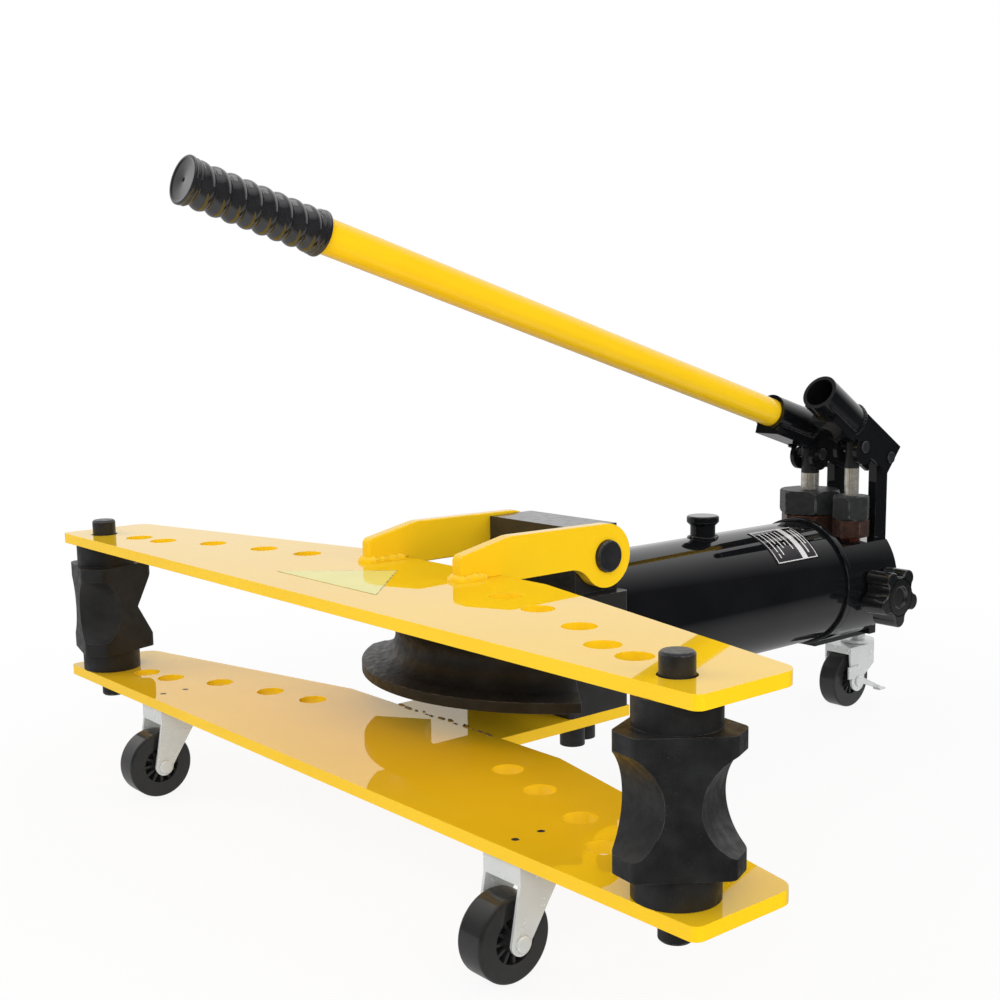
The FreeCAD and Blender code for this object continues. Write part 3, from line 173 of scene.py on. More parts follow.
looks = {
    "yellow_paint": {
        "colour": ((0.95, 0.600, 0.0145), (0.93, 0.575, 0.0125), 0.11),
        "specks": ((0.84, 0.47, 0.012), 0.0012, 0.27),
        "rough": (0.30, 0.40, 0.02),
        "grain": ((0.0022, 0.000010), (0.016, 0.000045)),
        "fixed": {"Coat Weight": 1.0, "Coat Roughness": 0.015, "Coat IOR": 1.5, "Specular IOR Level": 0.0},
    },
    "gloss_black_paint": {
        "colour": ((0.0050, 0.0053, 0.0062), (0.0068, 0.0071, 0.0082), 0.05),
        "specks": ((0.0085, 0.0087, 0.0098), 0.0020, 0.25),
        "edge_tone": ((0.040, 0.041, 0.044), 0.6),
        "rough": (0.25, 0.35, 0.012),
        "grain": ((0.0025, 0.000004), (0.014, 0.000030)),
        "fixed": {"Coat Weight": 1.0, "Coat Roughness": 0.03, "Coat IOR": 1.5, "Specular IOR Level": 0.0},
    },
    "satin_block": {
        "colour": ((0.0185, 0.0180, 0.0180), (0.0250, 0.0245, 0.0242), 0.03),
        "specks": ((0.040, 0.040, 0.039), 0.0011, 0.28),
        "edge_tone": ((0.12, 0.12, 0.12), 0.8),
        "rough": (0.15, 0.23, 0.008),
        "grain": ((0.0016, 0.00002), (0.010, 0.00005)),
        "fixed": {"Specular IOR Level": 0.5},
    },
    "black_steel": {
        "colour": ((0.014, 0.0148, 0.0165), (0.022, 0.0225, 0.0245), 0.012),
        "specks": ((0.07, 0.068, 0.065), 0.0011, 0.29),
        "edge_tone": ((0.12, 0.12, 0.125), 0.7),
        "rough": (0.30, 0.44, 0.004),
        "grain": ((0.0007, 0.00002),),
        "fixed": {"Metallic": 0.1, "Specular IOR Level": 0.45},
    },
    "black_cast_iron": {
        "colour": ((0.0100, 0.0102, 0.0106), (0.0175, 0.0178, 0.0182), 0.020),
        "specks": ((0.050, 0.049, 0.046), 0.0013, 0.28),
        "edge_tone": ((0.085, 0.085, 0.085), 0.6),
        "rough": (0.38, 0.56, 0.006),
        "grain": ((0.0011, 0.00005), (0.005, 0.00016)),
        "fixed": {"Specular IOR Level": 0.42},
    },
    "black_knob_plastic": {
        "colour": ((0.0078, 0.0082, 0.0088), (0.0105, 0.0108, 0.0114), 0.01),
        "specks": ((0.02, 0.02, 0.02), 0.0008, 0.25),
        "edge_tone": ((0.060, 0.061, 0.063), 0.7),
        "rough": (0.20, 0.30, 0.004),
        "grain": ((0.0016, 0.000006),),
        "fixed": {"Coat Weight": 1.0, "Coat Roughness": 0.03, "Coat IOR": 1.8, "Specular IOR Level": 0.0},
    },
    "black_grip_rubber": {
        "colour": ((0.0155, 0.0158, 0.0175), (0.0205, 0.0208, 0.0228), 0.012),
        "specks": ((0.045, 0.045, 0.047), 0.0009, 0.27),
        "rough": (0.24, 0.32, 0.005),
        "grain": ((0.0012, 0.000006), (0.006, 0.00002)),
        "fixed": {"Coat Weight": 1.0, "Coat Roughness": 0.05, "Coat IOR": 1.9, "Specular IOR Level": 0.0},
    },
    "dark_nut_steel": {
        "colour": ((0.021, 0.022, 0.0225), (0.031, 0.032, 0.032), 0.006),
        "specks": ((0.09, 0.09, 0.088), 0.0010, 0.30),
        "edge_tone": ((0.24, 0.25, 0.25), 0.8),
        "rough": (0.38, 0.54, 0.002),
        "grain": ((0.0006, 0.00003),),
        "fixed": {"Metallic": 0.1, "Specular IOR Level": 0.4},
    },
    "browned_steel": {
        "colour": ((0.078, 0.036, 0.026), (0.040, 0.022, 0.018), 0.005),
        "specks": ((0.018, 0.013, 0.011), 0.0014, 0.36),
        "edge_tone": ((0.30, 0.12, 0.07), 0.8),
        "rough": (0.26, 0.42, 0.003),
        "grain": ((0.0008, 0.00003),),
        "fixed": {"Metallic": 0.35},
    },
    "red_copper": {
        "colour": ((0.34, 0.080, 0.045), (0.17, 0.045, 0.028), 0.004),
        "specks": ((0.05, 0.02, 0.015), 0.0012, 0.34),
        "edge_tone": ((0.62, 0.25, 0.16), 0.7),
        "rough": (0.22, 0.36, 0.002),
        "grain": ((0.0008, 0.00002),),
        "fixed": {"Metallic": 0.6},
    },
    "ground_steel": {
        "colour": ((0.80, 0.77, 0.70), (0.62, 0.59, 0.53), 0.004),
        "specks": ((0.46, 0.44, 0.39), 0.0010, 0.30),
        "rough": (0.12, 0.24, 0.0005),
        "stretch": (1.0, 1.0, 0.04),
        "grain": ((0.0006, 0.00001),),
        "fixed": {"Metallic": 0.75, "Specular IOR Level": 0.6},
    },
    "plain_steel": {
        "colour": ((0.50, 0.50, 0.50), (0.42, 0.42, 0.42), 0.01),
        "rough": (0.25, 0.40, 0.003),
        "grain": ((0.0008, 0.00001),),
        "fixed": {"Metallic": 1.0},
    },
    "zinc_plated_steel": {
        "colour": ((0.79, 0.81, 0.80), (0.735, 0.76, 0.755), 0.030),
        "specks": ((0.71, 0.715, 0.69), 0.0014, 0.24),
        "edge_tone": ((0.96, 0.97, 0.97), 0.9),
        "rough": (0.20, 0.28, 0.010),
        "grain": ((0.0060, 0.000008),),
        "fixed": {"Metallic": 0.30, "Specular IOR Level": 0.6},
    },
    "black_wheel_plastic": {
        "colour": ((0.0175, 0.0178, 0.0183), (0.022, 0.0223, 0.0228), 0.012),
        "specks": ((0.036, 0.036, 0.036), 0.0012, 0.27),
        "edge_tone": ((0.055, 0.056, 0.058), 0.6),
        "rough": (0.30, 0.40, 0.004),
        "grain": ((0.0018, 0.00001),),
        "fixed": {"Coat Weight": 0.6, "Coat Roughness": 0.06, "Specular IOR Level": 0.3},
    },
    "printed_plate": {
        "colour": ((0.010, 0.0095, 0.0115), (0.020, 0.015, 0.018), 0.01),
        "specks": ((0.05, 0.05, 0.05), 0.0008, 0.27),
        "rough": (0.20, 0.30, 0.004),
        "grain": ((0.0012, 0.00001),),
        "fixed": {"Coat Weight": 1.0, "Coat Roughness": 0.04, "Specular IOR Level": 0.0},
    },
    "pale_film": {
        "colour": ((0.86, 0.80, 0.24), (0.83, 0.77, 0.21), 0.03),
        "specks": ((0.86, 0.79, 0.26), 0.0012, 0.27),
        "edge_tone": ((0.13, 0.15, 0.10), 0.9),
        "rough": (0.30, 0.40, 0.004),
        "grain": ((0.0015, 0.00001),),
        "fixed": {"Coat Weight": 0.75, "Coat Roughness": 0.03, "Specular IOR Level": 0.0},
    },
    "painted_seam": {
        "colour": ((0.30, 0.17, 0.04), (0.12, 0.07, 0.03), 0.006),
        "specks": ((0.75, 0.70, 0.50), 0.0013, 0.33),
        "rough": (0.20, 0.36, 0.004),
        "grain": ((0.0012, 0.00004),),
        "fixed": {"Coat Weight": 0.7, "Coat Roughness": 0.06, "Specular IOR Level": 0.2},
    },
}
finishes = {name: finishMaterial(name, look) for name, look in looks.items()}
print("finishes made,", len(finishes))


# helpers for pieces
def placed(name, mesh, slot, body, stands=(), finish=None):
    data = bpy.data.meshes.new(name)
    mesh.normal_update()
    mesh.to_mesh(data)
    mesh.free()
    data.materials.append(finishes[finish or slot])
    piece = bpy.data.objects.new(name, data)
    bpy.context.scene.collection.objects.link(piece)
    for polygon in data.polygons:
        polygon.use_smooth = True
    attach(piece, body)
    if stands:
        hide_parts(*stands)
    return piece


# how the drawn edges are rounded over: distances in metres, angles in degrees
edging = {"merge": 2e-6, "flat": 0.7, "sharp": 26.0, "steps": 3, "profile": 0.5, "weight": 80}


def evenShading(piece):
    even = piece.modifiers.new("even", "WEIGHTED_NORMAL")
    even.weight = edging["weight"]
    return piece


# a copy of a drawn piece whose sharp edges are rounded over, the rounding marked for the edge colour, which
# is partly wear and partly a painted highlight
def softEdged(node, size):
    mesh = bmesh.new()
    mesh.from_mesh(nodes[node].data)
    bmesh.ops.remove_doubles(mesh, verts=mesh.verts, dist=edging["merge"])
    flat = math.radians(edging["flat"])
    bmesh.ops.dissolve_limit(mesh, angle_limit=flat, verts=mesh.verts, edges=mesh.edges)
    edge_tone = mesh.faces.layers.float.new("edge_tone")
    least = math.radians(edging["sharp"])
    sharp = [e for e in mesh.edges if len(e.link_faces) == 2 and e.calc_face_angle(0.0) > least]
    made = bmesh.ops.bevel(
        mesh, geom=sharp, offset=size / 1000.0, offset_type="OFFSET", segments=edging["steps"],
        profile=edging["profile"], affect="EDGES", clamp_overlap=True, loop_slide=True, material=-1)
    for face in made["faces"]:
        face[edge_tone] = 1.0
    piece = placed(node + "_shape", mesh, slotOf[node], bodyOf[node], [node], otherFinish.get(node))
    return evenShading(piece)


# a body turned about an axis from (distance, radius) pairs
def turnedBody(profile, start, direction, steps=96):
    mesh = bmesh.new()
    spin = Vector(direction).normalized().to_track_quat("Z", "X").to_matrix()
    rings = []
    for along, radius in profile:
        ring = []
        for step in range(steps):
            turn = 2.0 * math.pi * step / steps
            local = Vector((radius * math.cos(turn), radius * math.sin(turn), along)) / 1000.0
            ring.append(mesh.verts.new(start + spin @ local))
        rings.append(ring)
    for low, high in zip(rings, rings[1:] + rings[:1]):
        for step in range(steps):
            after = (step + 1) % steps
            mesh.faces.new((low[step], low[after], high[after], high[step]))
    return mesh


# a weld bead: points round it, spacing in mm, how uneven it is as a share of its size
# and how far its line wanders, in metres for each mm of its size
bead = {
    "around": 10, "every": 0.5, "least": 0.86, "uneven": 0.16, "unevenPerMetre": 260.0,
    "wander": 0.00018, "wanderPerMetre": 130.0, "endSize": 0.35, "endStep": 0.16,
}


def densePoints(points, closed):
    spans = list(zip(points, points[1:] + points[:1])) if closed else list(zip(points, points[1:]))
    dense = []
    for first, second in spans:
        count = max(2, int((second - first).length * 1000.0 / bead["every"]))
        dense.extend(first.lerp(second, step / count) for step in range(count))
    if not closed:
        dense.append(points[-1])
    return dense


def weldRings(mesh, dense, size, closed, ripple, beats):
    travelled = 0.0
    rings = []
    for index, here in enumerate(dense):
        behind = dense[index - 1] if index or closed else here
        ahead = dense[(index + 1) % len(dense)] if index < len(dense) - 1 or closed else here
        direction = (ahead - behind).normalized()
        travelled += (here - behind).length * 1000.0 if index else 0.0
        side = direction.orthogonal().normalized()
        up = direction.cross(side)
        beat = (travelled / ripple) % 1.0
        uneven = bead["uneven"] * noise.noise(here * bead["unevenPerMetre"])
        swell = bead["least"] + beats * math.sqrt(beat) + uneven
        if not closed:
            fromEnd = min(index, len(dense) - 1 - index)
            swell *= min(1.0, bead["endSize"] + bead["endStep"] * fromEnd)
        wander = noise.noise_vector(here * bead["wanderPerMetre"]) * size * bead["wander"]
        ring = []
        for step in range(bead["around"]):
            turn = 2.0 * math.pi * step / bead["around"]
            spoke = side * math.cos(turn) + up * math.sin(turn)
            ring.append(mesh.verts.new(here + wander + spoke * swell * size / 1000.0))
        rings.append(ring)
    return rings


# a run of weld along a line of points, with its ripples
def weldBead(name, points, size, slot, body, closed=False, ripple=3.2, beats=0.22, finish=None):
    mesh = bmesh.new()
    around = bead["around"]
    rings = weldRings(mesh, densePoints(points, closed), size, closed, ripple, beats)
    pairs = list(zip(rings, rings[1:] + rings[:1])) if closed else list(zip(rings, rings[1:]))
    for low, high in pairs:
        best = min(range(around), key=lambda s: (high[s].co - low[0].co).length)
        for step in range(around):
            after = (step + 1) % around
            above = (high[(after + best) % around], high[(step + best) % around])
            mesh.faces.new((low[step], low[after], *above))
    if not closed:
        mesh.faces.new(list(reversed(rings[0])))
        mesh.faces.new(rings[-1])
    bmesh.ops.recalc_face_normals(mesh, faces=mesh.faces)
    return placed(name, mesh, slot, body, finish=finish)


# pieces that keep their drawn form, with softened edges
rounding = {
    "lower_wing_plate": 1.0, "upper_wing_plate": 1.0, "left_hinge_arm": 1.6, "right_hinge_arm": 1.6,
    "hinge_pin": 0.5, "front_block": 2.0, "block_bolts": 0.8, "left_roller": 1.3, "right_roller": 1.3,
    "left_roller_pin": 0.5, "right_roller_pin": 0.5, "bending_former": 1.8, "ram": 0.5, "oil_tank": 0.5,
    "filler_boss": 0.6, "tank_end_ring": 0.9, "pump_body": 1.0, "release_spindle": 0.5, "release_knob": 3.0,
    "left_lever_socket": 1.0, "right_lever_socket": 1.0, "left_pivot_pin": 0.7, "right_pivot_pin": 0.7,
    "lever_posts": 1.0, "handle_tube": 0.4, "filler_cap": 0.7, "left_caster_bracket": 0.7,
    "right_caster_bracket": 0.7, "caster_screws": 0.8, "left_front_wheel": 0.5, "right_front_wheel": 0.5,
    "rear_wheel": 0.5, "left_axle": 0.9, "right_axle": 0.9, "swivel_stem": 0.6, "stem_nut": 0.6,
    "swivel_fork": 0.6, "rear_axle": 0.9, "brake_lever": 0.5, "large_copper_washer": 0.5,
    "large_pump_barrel": 0.9, "large_gland_nut": 0.8, "large_plunger": 0.4, "large_plunger_eye": 0.8,
    "large_plunger_pin": 0.7, "small_copper_washer": 0.8, "small_pump_barrel": 0.9, "small_gland_nut": 0.7,
    "small_plunger": 0.4, "small_plunger_eye": 0.8, "small_plunger_pin": 0.7,
}
otherFinish = {"front_block": "satin_block", "caster_screws": "black_steel"}
for node, size in rounding.items():
    softEdged(node, size)
for node in ("ram_cylinder", "ram_piston"):
    nodes[node].data.materials.clear()
    nodes[node].data.materials.append(finishes[slotOf[node]])
print("drawn pieces given soft edges,", len(rounding))


# each lever's body and pivot, its tilt in degrees, and how far its socket's middle is over the pivot
levers = {
    "left": {"pivot": (-28.4, 758.5, 290.6), "tilt": 17.0, "rise": 16.0, "body": "left_lever"},
    "right": {"pivot": (28.4, 758.5, 290.6), "tilt": 32.6, "rise": 5.5, "body": "right_lever"},
}


def leverFrame(lever):
    angle = math.radians(lever["tilt"])
    along = Vector((0.0, -math.cos(angle), math.sin(angle)))
    over = Vector((0.0, math.sin(angle), math.cos(angle)))
    base = at(*lever["pivot"]) + over * lever["rise"] / 1000.0
    return base, along, Vector((1.0, 0.0, 0.0)), over


# twisted hand grip
# flangeEdge and lipEdge: how far from the grip's end or from its lip, and how far below the flange
grip = {
    "start": 733.0, "length": 127.0, "cap": 7.0, "bore": 15.4, "peak": 18.7, "valley": 15.7,
    "flange": 19.5, "pitch": 14.1, "aroundSteps": 120, "alongStep": 0.6, "roundness": 0.85,
    "fade": 2.5, "fadeShare": 0.75, "hole": 2.0, "holeDepth": 8.0, "dish": 1.2,
    "flangeEdge": ((0.0, 0.8), (0.8, 0.0), (2.6, 0.0), (3.4, 1.1), (4.0, 1.3), (4.6, 0.9)),
    "lipEdge": ((0.8, 0.5), (0.0, 1.5)), "dishEdge": (0.2, 2.6), "dishRim": 4.0,
}


# stations along the grip: distance, radius, and whether the twist shapes it
def gripStations(look, inner, outer):
    start, end, flange = look["start"], look["start"] + look["length"], look["flange"]
    near = [(start, look["bore"])]
    near += [(start + u, flange - drop) for u, drop in look["flangeEdge"]]
    near += [(inner - u, flange - drop) for u, drop in look["lipEdge"]]
    far = [(outer + u, flange - drop) for u, drop in reversed(look["lipEdge"])]
    far += [(end - u, flange - drop) for u, drop in reversed(look["flangeEdge"])]
    far += [(end - look["dishEdge"][0], flange - look["dishEdge"][1])]
    far += [(end - look["dish"], flange - look["dishRim"]), (end - look["dish"], look["hole"])]
    far += [(end - look["holeDepth"], look["hole"])]
    count = int((outer - inner) / look["alongStep"])
    stations = [(u, radius, False) for u, radius in near]
    stations += [(inner + (outer - inner) * s / count, 0.0, True) for s in range(1, count)]
    return stations + [(u, radius, False) for u, radius in far]


def lobeRadius(look, u, turn, inner, outer):
    phase = ((u - inner) / look["pitch"] - turn / (2.0 * math.pi)) % 1.0
    lift = abs(math.sin(math.pi * phase)) ** look["roundness"]
    fade = min(1.0, (u - inner) / look["fade"], (outer - u) / look["fade"])
    share = lift * fade + look["fadeShare"] * (1.0 - fade)
    return look["valley"] + (look["peak"] - look["valley"]) * share


def handGrip(look, lever):
    base, along, side, over = leverFrame(lever)
    inner = look["start"] + look["cap"]
    outer = look["start"] + look["length"] - look["cap"]
    mesh = bmesh.new()
    rings = []
    steps = look["aroundSteps"]
    for u, radius, twisted in gripStations(look, inner, outer):
        ring = []
        for step in range(steps):
            turn = 2.0 * math.pi * step / steps
            size = lobeRadius(look, u, turn, inner, outer) if twisted else radius
            point = base + (along * u + (side * math.cos(turn) + over * math.sin(turn)) * size) / 1000.0
            ring.append(mesh.verts.new(point))
        rings.append(ring)
    for low, high in zip(rings, rings[1:]):
        for step in range(steps):
            after = (step + 1) % steps
            mesh.faces.new((low[step], high[step], high[after], low[after]))
    mesh.faces.new(list(reversed(rings[-1])))
    bmesh.ops.recalc_face_normals(mesh, faces=mesh.faces)
    return placed("twisted_grip", mesh, "black_grip_rubber", "handle", ["handle_grip"])


evenShading(handGrip(grip, levers["left"]))
print("grip made")


# data plate, its ruled lines plain
tankLow, tankHigh = drawnBox("oil_tank")
tankZ = (tankLow[2] + tankHigh[2]) / 2.0
tankRadius = tankHigh[0]
plateFront, plateRear = (corner[1] for corner in drawnBox("data_plate"))
plate = {
    "clear": 0.08, "thick": 0.6, "sunk": 0.03, "fromTop": 12.2, "toSide": 56.3, "stepsDown": 24,
    "ink": ((0.62, 0.62, 0.62), (0.78, 0.78, 0.77), 0.0012),
}
# rectangles of white print, as shares along the plate and down it
plateLines = [
    (0.030, 0.045, 0.03, 0.97), (0.955, 0.970, 0.03, 0.97),
    (0.030, 0.970, 0.03, 0.05), (0.030, 0.970, 0.95, 0.97),
    (0.62, 0.74, 0.03, 0.97), (0.14, 0.165, 0.12, 0.72), (0.14, 0.165, 0.76, 0.86),
    (0.235, 0.26, 0.12, 0.50), (0.235, 0.26, 0.55, 0.80), (0.33, 0.355, 0.12, 0.64),
    (0.425, 0.45, 0.12, 0.44), (0.425, 0.45, 0.50, 0.58), (0.52, 0.545, 0.12, 0.70),
    (0.81, 0.84, 0.14, 0.84), (0.88, 0.91, 0.14, 0.62),
]


def plateCorner(look, share, down, radius):
    angle = math.radians(look["fromTop"] + (look["toSide"] - look["fromTop"]) * down)
    y = plateFront + (plateRear - plateFront) * share
    return at(radius * math.sin(angle), y, tankZ + radius * math.cos(angle))


def dataPlate(look):
    mesh = bmesh.new()
    printed = mesh.faces.layers.float.new("print")
    under = tankRadius + look["clear"]
    outer = under + look["thick"] - look["sunk"]
    evenly = [step / look["stepsDown"] for step in range(look["stepsDown"] + 1)]
    marks = sorted({0.0, 1.0, *(v for line in plateLines for v in line[:2])})
    downs = sorted({0.0, 1.0, *(v for line in plateLines for v in line[2:]), *evenly})
    top = [[mesh.verts.new(plateCorner(look, s, d, outer)) for d in downs] for s in marks]
    low = [[mesh.verts.new(plateCorner(look, s, d, under)) for d in downs] for s in marks]
    lastAlong, lastDown = len(marks) - 1, len(downs) - 1
    for i in range(lastAlong):
        for j in range(lastDown):
            face = mesh.faces.new((top[i][j], top[i][j + 1], top[i + 1][j + 1], top[i + 1][j]))
            middle = ((marks[i] + marks[i + 1]) / 2.0, (downs[j] + downs[j + 1]) / 2.0)
            inside = [a < middle[0] < b and c < middle[1] < d for a, b, c, d in plateLines]
            face[printed] = 1.0 if any(inside) else 0.0
            mesh.faces.new((low[i][j], low[i + 1][j], low[i + 1][j + 1], low[i][j + 1]))
    rim = [(i, 0) for i in range(lastAlong + 1)]
    rim += [(lastAlong, j) for j in range(1, lastDown + 1)]
    rim += [(i, lastDown) for i in range(lastAlong - 1, -1, -1)]
    rim += [(0, j) for j in range(lastDown - 1, 0, -1)]
    for (i, j), (k, m) in zip(rim, rim[1:] + rim[:1]):
        mesh.faces.new((top[i][j], top[k][m], low[k][m], low[i][j]))
    bmesh.ops.recalc_face_normals(mesh, faces=mesh.faces)
    return placed("ruled_plate", mesh, "printed_plate", "frame", ["data_plate"])


def whitePrint(material, look):
    tree = material.node_tree
    shader = next(n for n in tree.nodes if n.type == "BSDF_PRINCIPLED")
    dark = shader.inputs["Base Color"].links[0].from_socket
    mark = addNode(tree, "Attribute", {"attribute_name": "print"}).outputs["Fac"]
    coords = addNode(tree, "TexCoord").outputs["Object"]
    first, second, patch = look["ink"]
    white = mixColour(tree, noiseNode(tree, coords, patch), first, second)
    tree.links.new(mixColour(tree, mark, dark, white), shader.inputs["Base Color"])


whitePrint(finishes["printed_plate"], plate)
dataPlate(plate)
print("data plate made")


# welds
armLow, armHigh = (corner * 1000.0 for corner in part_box("right_hinge_arm"))
wingTop = 1000.0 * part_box("upper_wing_plate")[1].z
wingWelds = {
    "front": armLow.y + drawnMiddle, "rear": 161.0, "outerRear": 149.0, "corner": 1.5, "sunk": 0.4,
    "size": 6.0, "ripple": 9.0, "beats": 0.08,
}


def armWelds(look):
    inner, outer, front, corner = armLow.x, armHigh.x, look["front"], look["corner"]
    corners = (
        (inner, look["rear"]), (inner, front + corner), (inner + corner, front),
        (outer - corner, front), (outer, front + corner), (outer, look["outerRear"]))
    for sign, side in ((-1.0, "left"), (1.0, "right")):
        line = [at(sign * x, y, wingTop - look["sunk"]) for x, y in corners]
        weldBead(
            f"{side}_arm_weld", line, look["size"], "yellow_paint", "upper_wing",
            ripple=look["ripple"], beats=look["beats"])


armWelds(wingWelds)

fillerWeld = {"radius": 13.6, "size": 2.6, "ripple": 3.6, "steps": 60}


def fillerRing(look):
    low, high = drawnBox("filler_boss")
    middle = (low[1] + high[1]) / 2.0
    radius = look["radius"]
    ring = []
    for step in range(look["steps"]):
        turn = 2.0 * math.pi * step / look["steps"]
        x = radius * math.sin(turn)
        height = math.sqrt(tankRadius ** 2 - x * x)
        ring.append(at(x, middle + radius * math.cos(turn), tankZ + height))
    weldBead(
        "filler_weld", ring, look["size"], "gloss_black_paint", "frame",
        closed=True, ripple=look["ripple"])


fillerRing(fillerWeld)

socketWeld = {"along": 70.5, "radius": 19.9, "size": 2.2, "steps": 48}
cradleWeld = {
    "across": 15.6, "under": 12.2, "stops": (72.0, 90.0, 110.0, 129.0),
    "size": 2.4, "ripple": 4.2, "beats": 0.35,
}


def socketRing(side, lever, look):
    base, along, across, over = leverFrame(lever)
    ring = []
    for step in range(look["steps"]):
        turn = 2.0 * math.pi * step / look["steps"]
        spoke = (across * math.cos(turn) + over * math.sin(turn)) * look["radius"]
        ring.append(base + (along * look["along"] + spoke) / 1000.0)
    weldBead(f"{side}_socket_weld", ring, look["size"], "gloss_black_paint", lever["body"], closed=True)


def cradleRuns(side, lever, look):
    base, along, across, over = leverFrame(lever)
    for name, edge in (("inner", -1.0), ("outer", 1.0)):
        start = across * (edge * look["across"]) - over * look["under"]
        line = [base + (along * u + start) / 1000.0 for u in look["stops"]]
        weldBead(
            f"{side}_cradle_weld_{name}", line, look["size"], "gloss_black_paint", lever["body"],
            ripple=look["ripple"], beats=look["beats"])


for side, lever in levers.items():
    socketRing(side, lever, socketWeld)
    cradleRuns(side, lever, cradleWeld)

# flakes of paint along the joint of the tongue, each length and gap drawn between two limits
flakes = {
    "y": 159.5, "half": 74.0, "stop": 12.0, "sunk": 0.25, "length": (4.0, 17.0), "aside": 1.6,
    "tilt": 0.12, "size": (0.7, 1.5), "gap": (-1.0, 5.0), "shares": (0.0, 0.35, 0.7, 1.0),
    "ripple": 2.4, "beats": 0.5,
}


def tongueFlakes(look):
    top = drawnBox("lower_wing_plate")[1][2] - look["sunk"]
    x, count = -look["half"], 0
    while x < look["half"] - look["stop"]:
        length = random.uniform(*look["length"])
        y = look["y"] + random.uniform(-look["aside"], look["aside"])
        tilt = random.uniform(-look["tilt"], look["tilt"])
        line = [at(x + length * share, y + tilt * length * share, top) for share in look["shares"]]
        weldBead(
            f"tongue_flake_{count}", line, random.uniform(*look["size"]), "yellow_paint", "frame",
            ripple=look["ripple"], beats=look["beats"], finish="painted_seam")
        x += length + random.uniform(*look["gap"])
        count += 1


tongueFlakes(flakes)
print("welds made")


# plain pale film on the upper wing
film = {
    "corners": ((-81.0, 40.0), (68.0, 40.0), (-9.0, 117.0)),
    "lift": 0.12, "thick": 0.10, "rim": 2.2, "steps": 12,
}


def wingFilm(look):
    mesh = bmesh.new()
    edge = mesh.faces.layers.float.new("edge_tone")
    corners = [Vector(c).to_3d() for c in look["corners"]]
    middle = sum(corners, Vector()) / 3.0
    inner = [c + (middle - c).normalized() * look["rim"] for c in corners]
    low = wingTop + look["lift"]
    high = low + look["thick"]
    rings = []
    for outline, height in ((corners, low), (corners, high), (inner, high)):
        ring = []
        for first, second in zip(outline, outline[1:] + outline[:1]):
            for step in range(look["steps"]):
                place = first.lerp(second, step / look["steps"])
                ring.append(mesh.verts.new(at(place.x, place.y, height)))
        rings.append(ring)
    count = len(rings[0])
    for level, (below, above) in enumerate(zip(rings, rings[1:])):
        for step in range(count):
            after = (step + 1) % count
            face = mesh.faces.new((below[step], below[after], above[after], above[step]))
            face[edge] = float(level)
    mesh.faces.new(rings[2])
    mesh.faces.new(list(reversed(rings[0])))
    bmesh.ops.recalc_face_normals(mesh, faces=mesh.faces)
    return placed("wing_film", mesh, "printed_plate", "upper_wing", finish="pale_film")


evenShading(wingFilm(film))

# raised ring moulded in the knob's face: distance out of the face, radius
knobRing = ((-0.4, 19.6), (0.0, 19.9), (0.0, 20.9), (-0.4, 21.2), (-1.6, 21.2), (-1.6, 19.6))
release = next(j for j in frame["record"]["behaviour"]["joints"] if j["name"] == "release_turn")
knobFace = Vector(release["pos_m"])
knobFace.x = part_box("release_knob")[1].x
ringMesh = turnedBody(knobRing, knobFace, (1.0, 0.0, 0.0))
bmesh.ops.recalc_face_normals(ringMesh, faces=ringMesh.faces)
evenShading(placed("knob_ring", ringMesh, "black_knob_plastic", "release_valve"))
print("film and knob ring made")


# studio
def studioFloor(look):
    mesh = bmesh.new()
    steps, half, drop = look["steps"], look["half"], look["drop"]
    lines = [half * (2 * step / steps - 1) for step in range(steps + 1)]
    rows = [[mesh.verts.new((x, y, -drop)) for y in lines] for x in lines]
    for i in range(steps):
        for j in range(steps):
            mesh.faces.new((rows[i][j], rows[i + 1][j], rows[i + 1][j + 1], rows[i][j + 1]))
    data = bpy.data.meshes.new("studio_floor")
    mesh.to_mesh(data)
    mesh.free()
    data.materials.append(floorFinish(look))
    floor = bpy.data.objects.new("studio_floor", data)
    bpy.context.scene.collection.objects.link(floor)


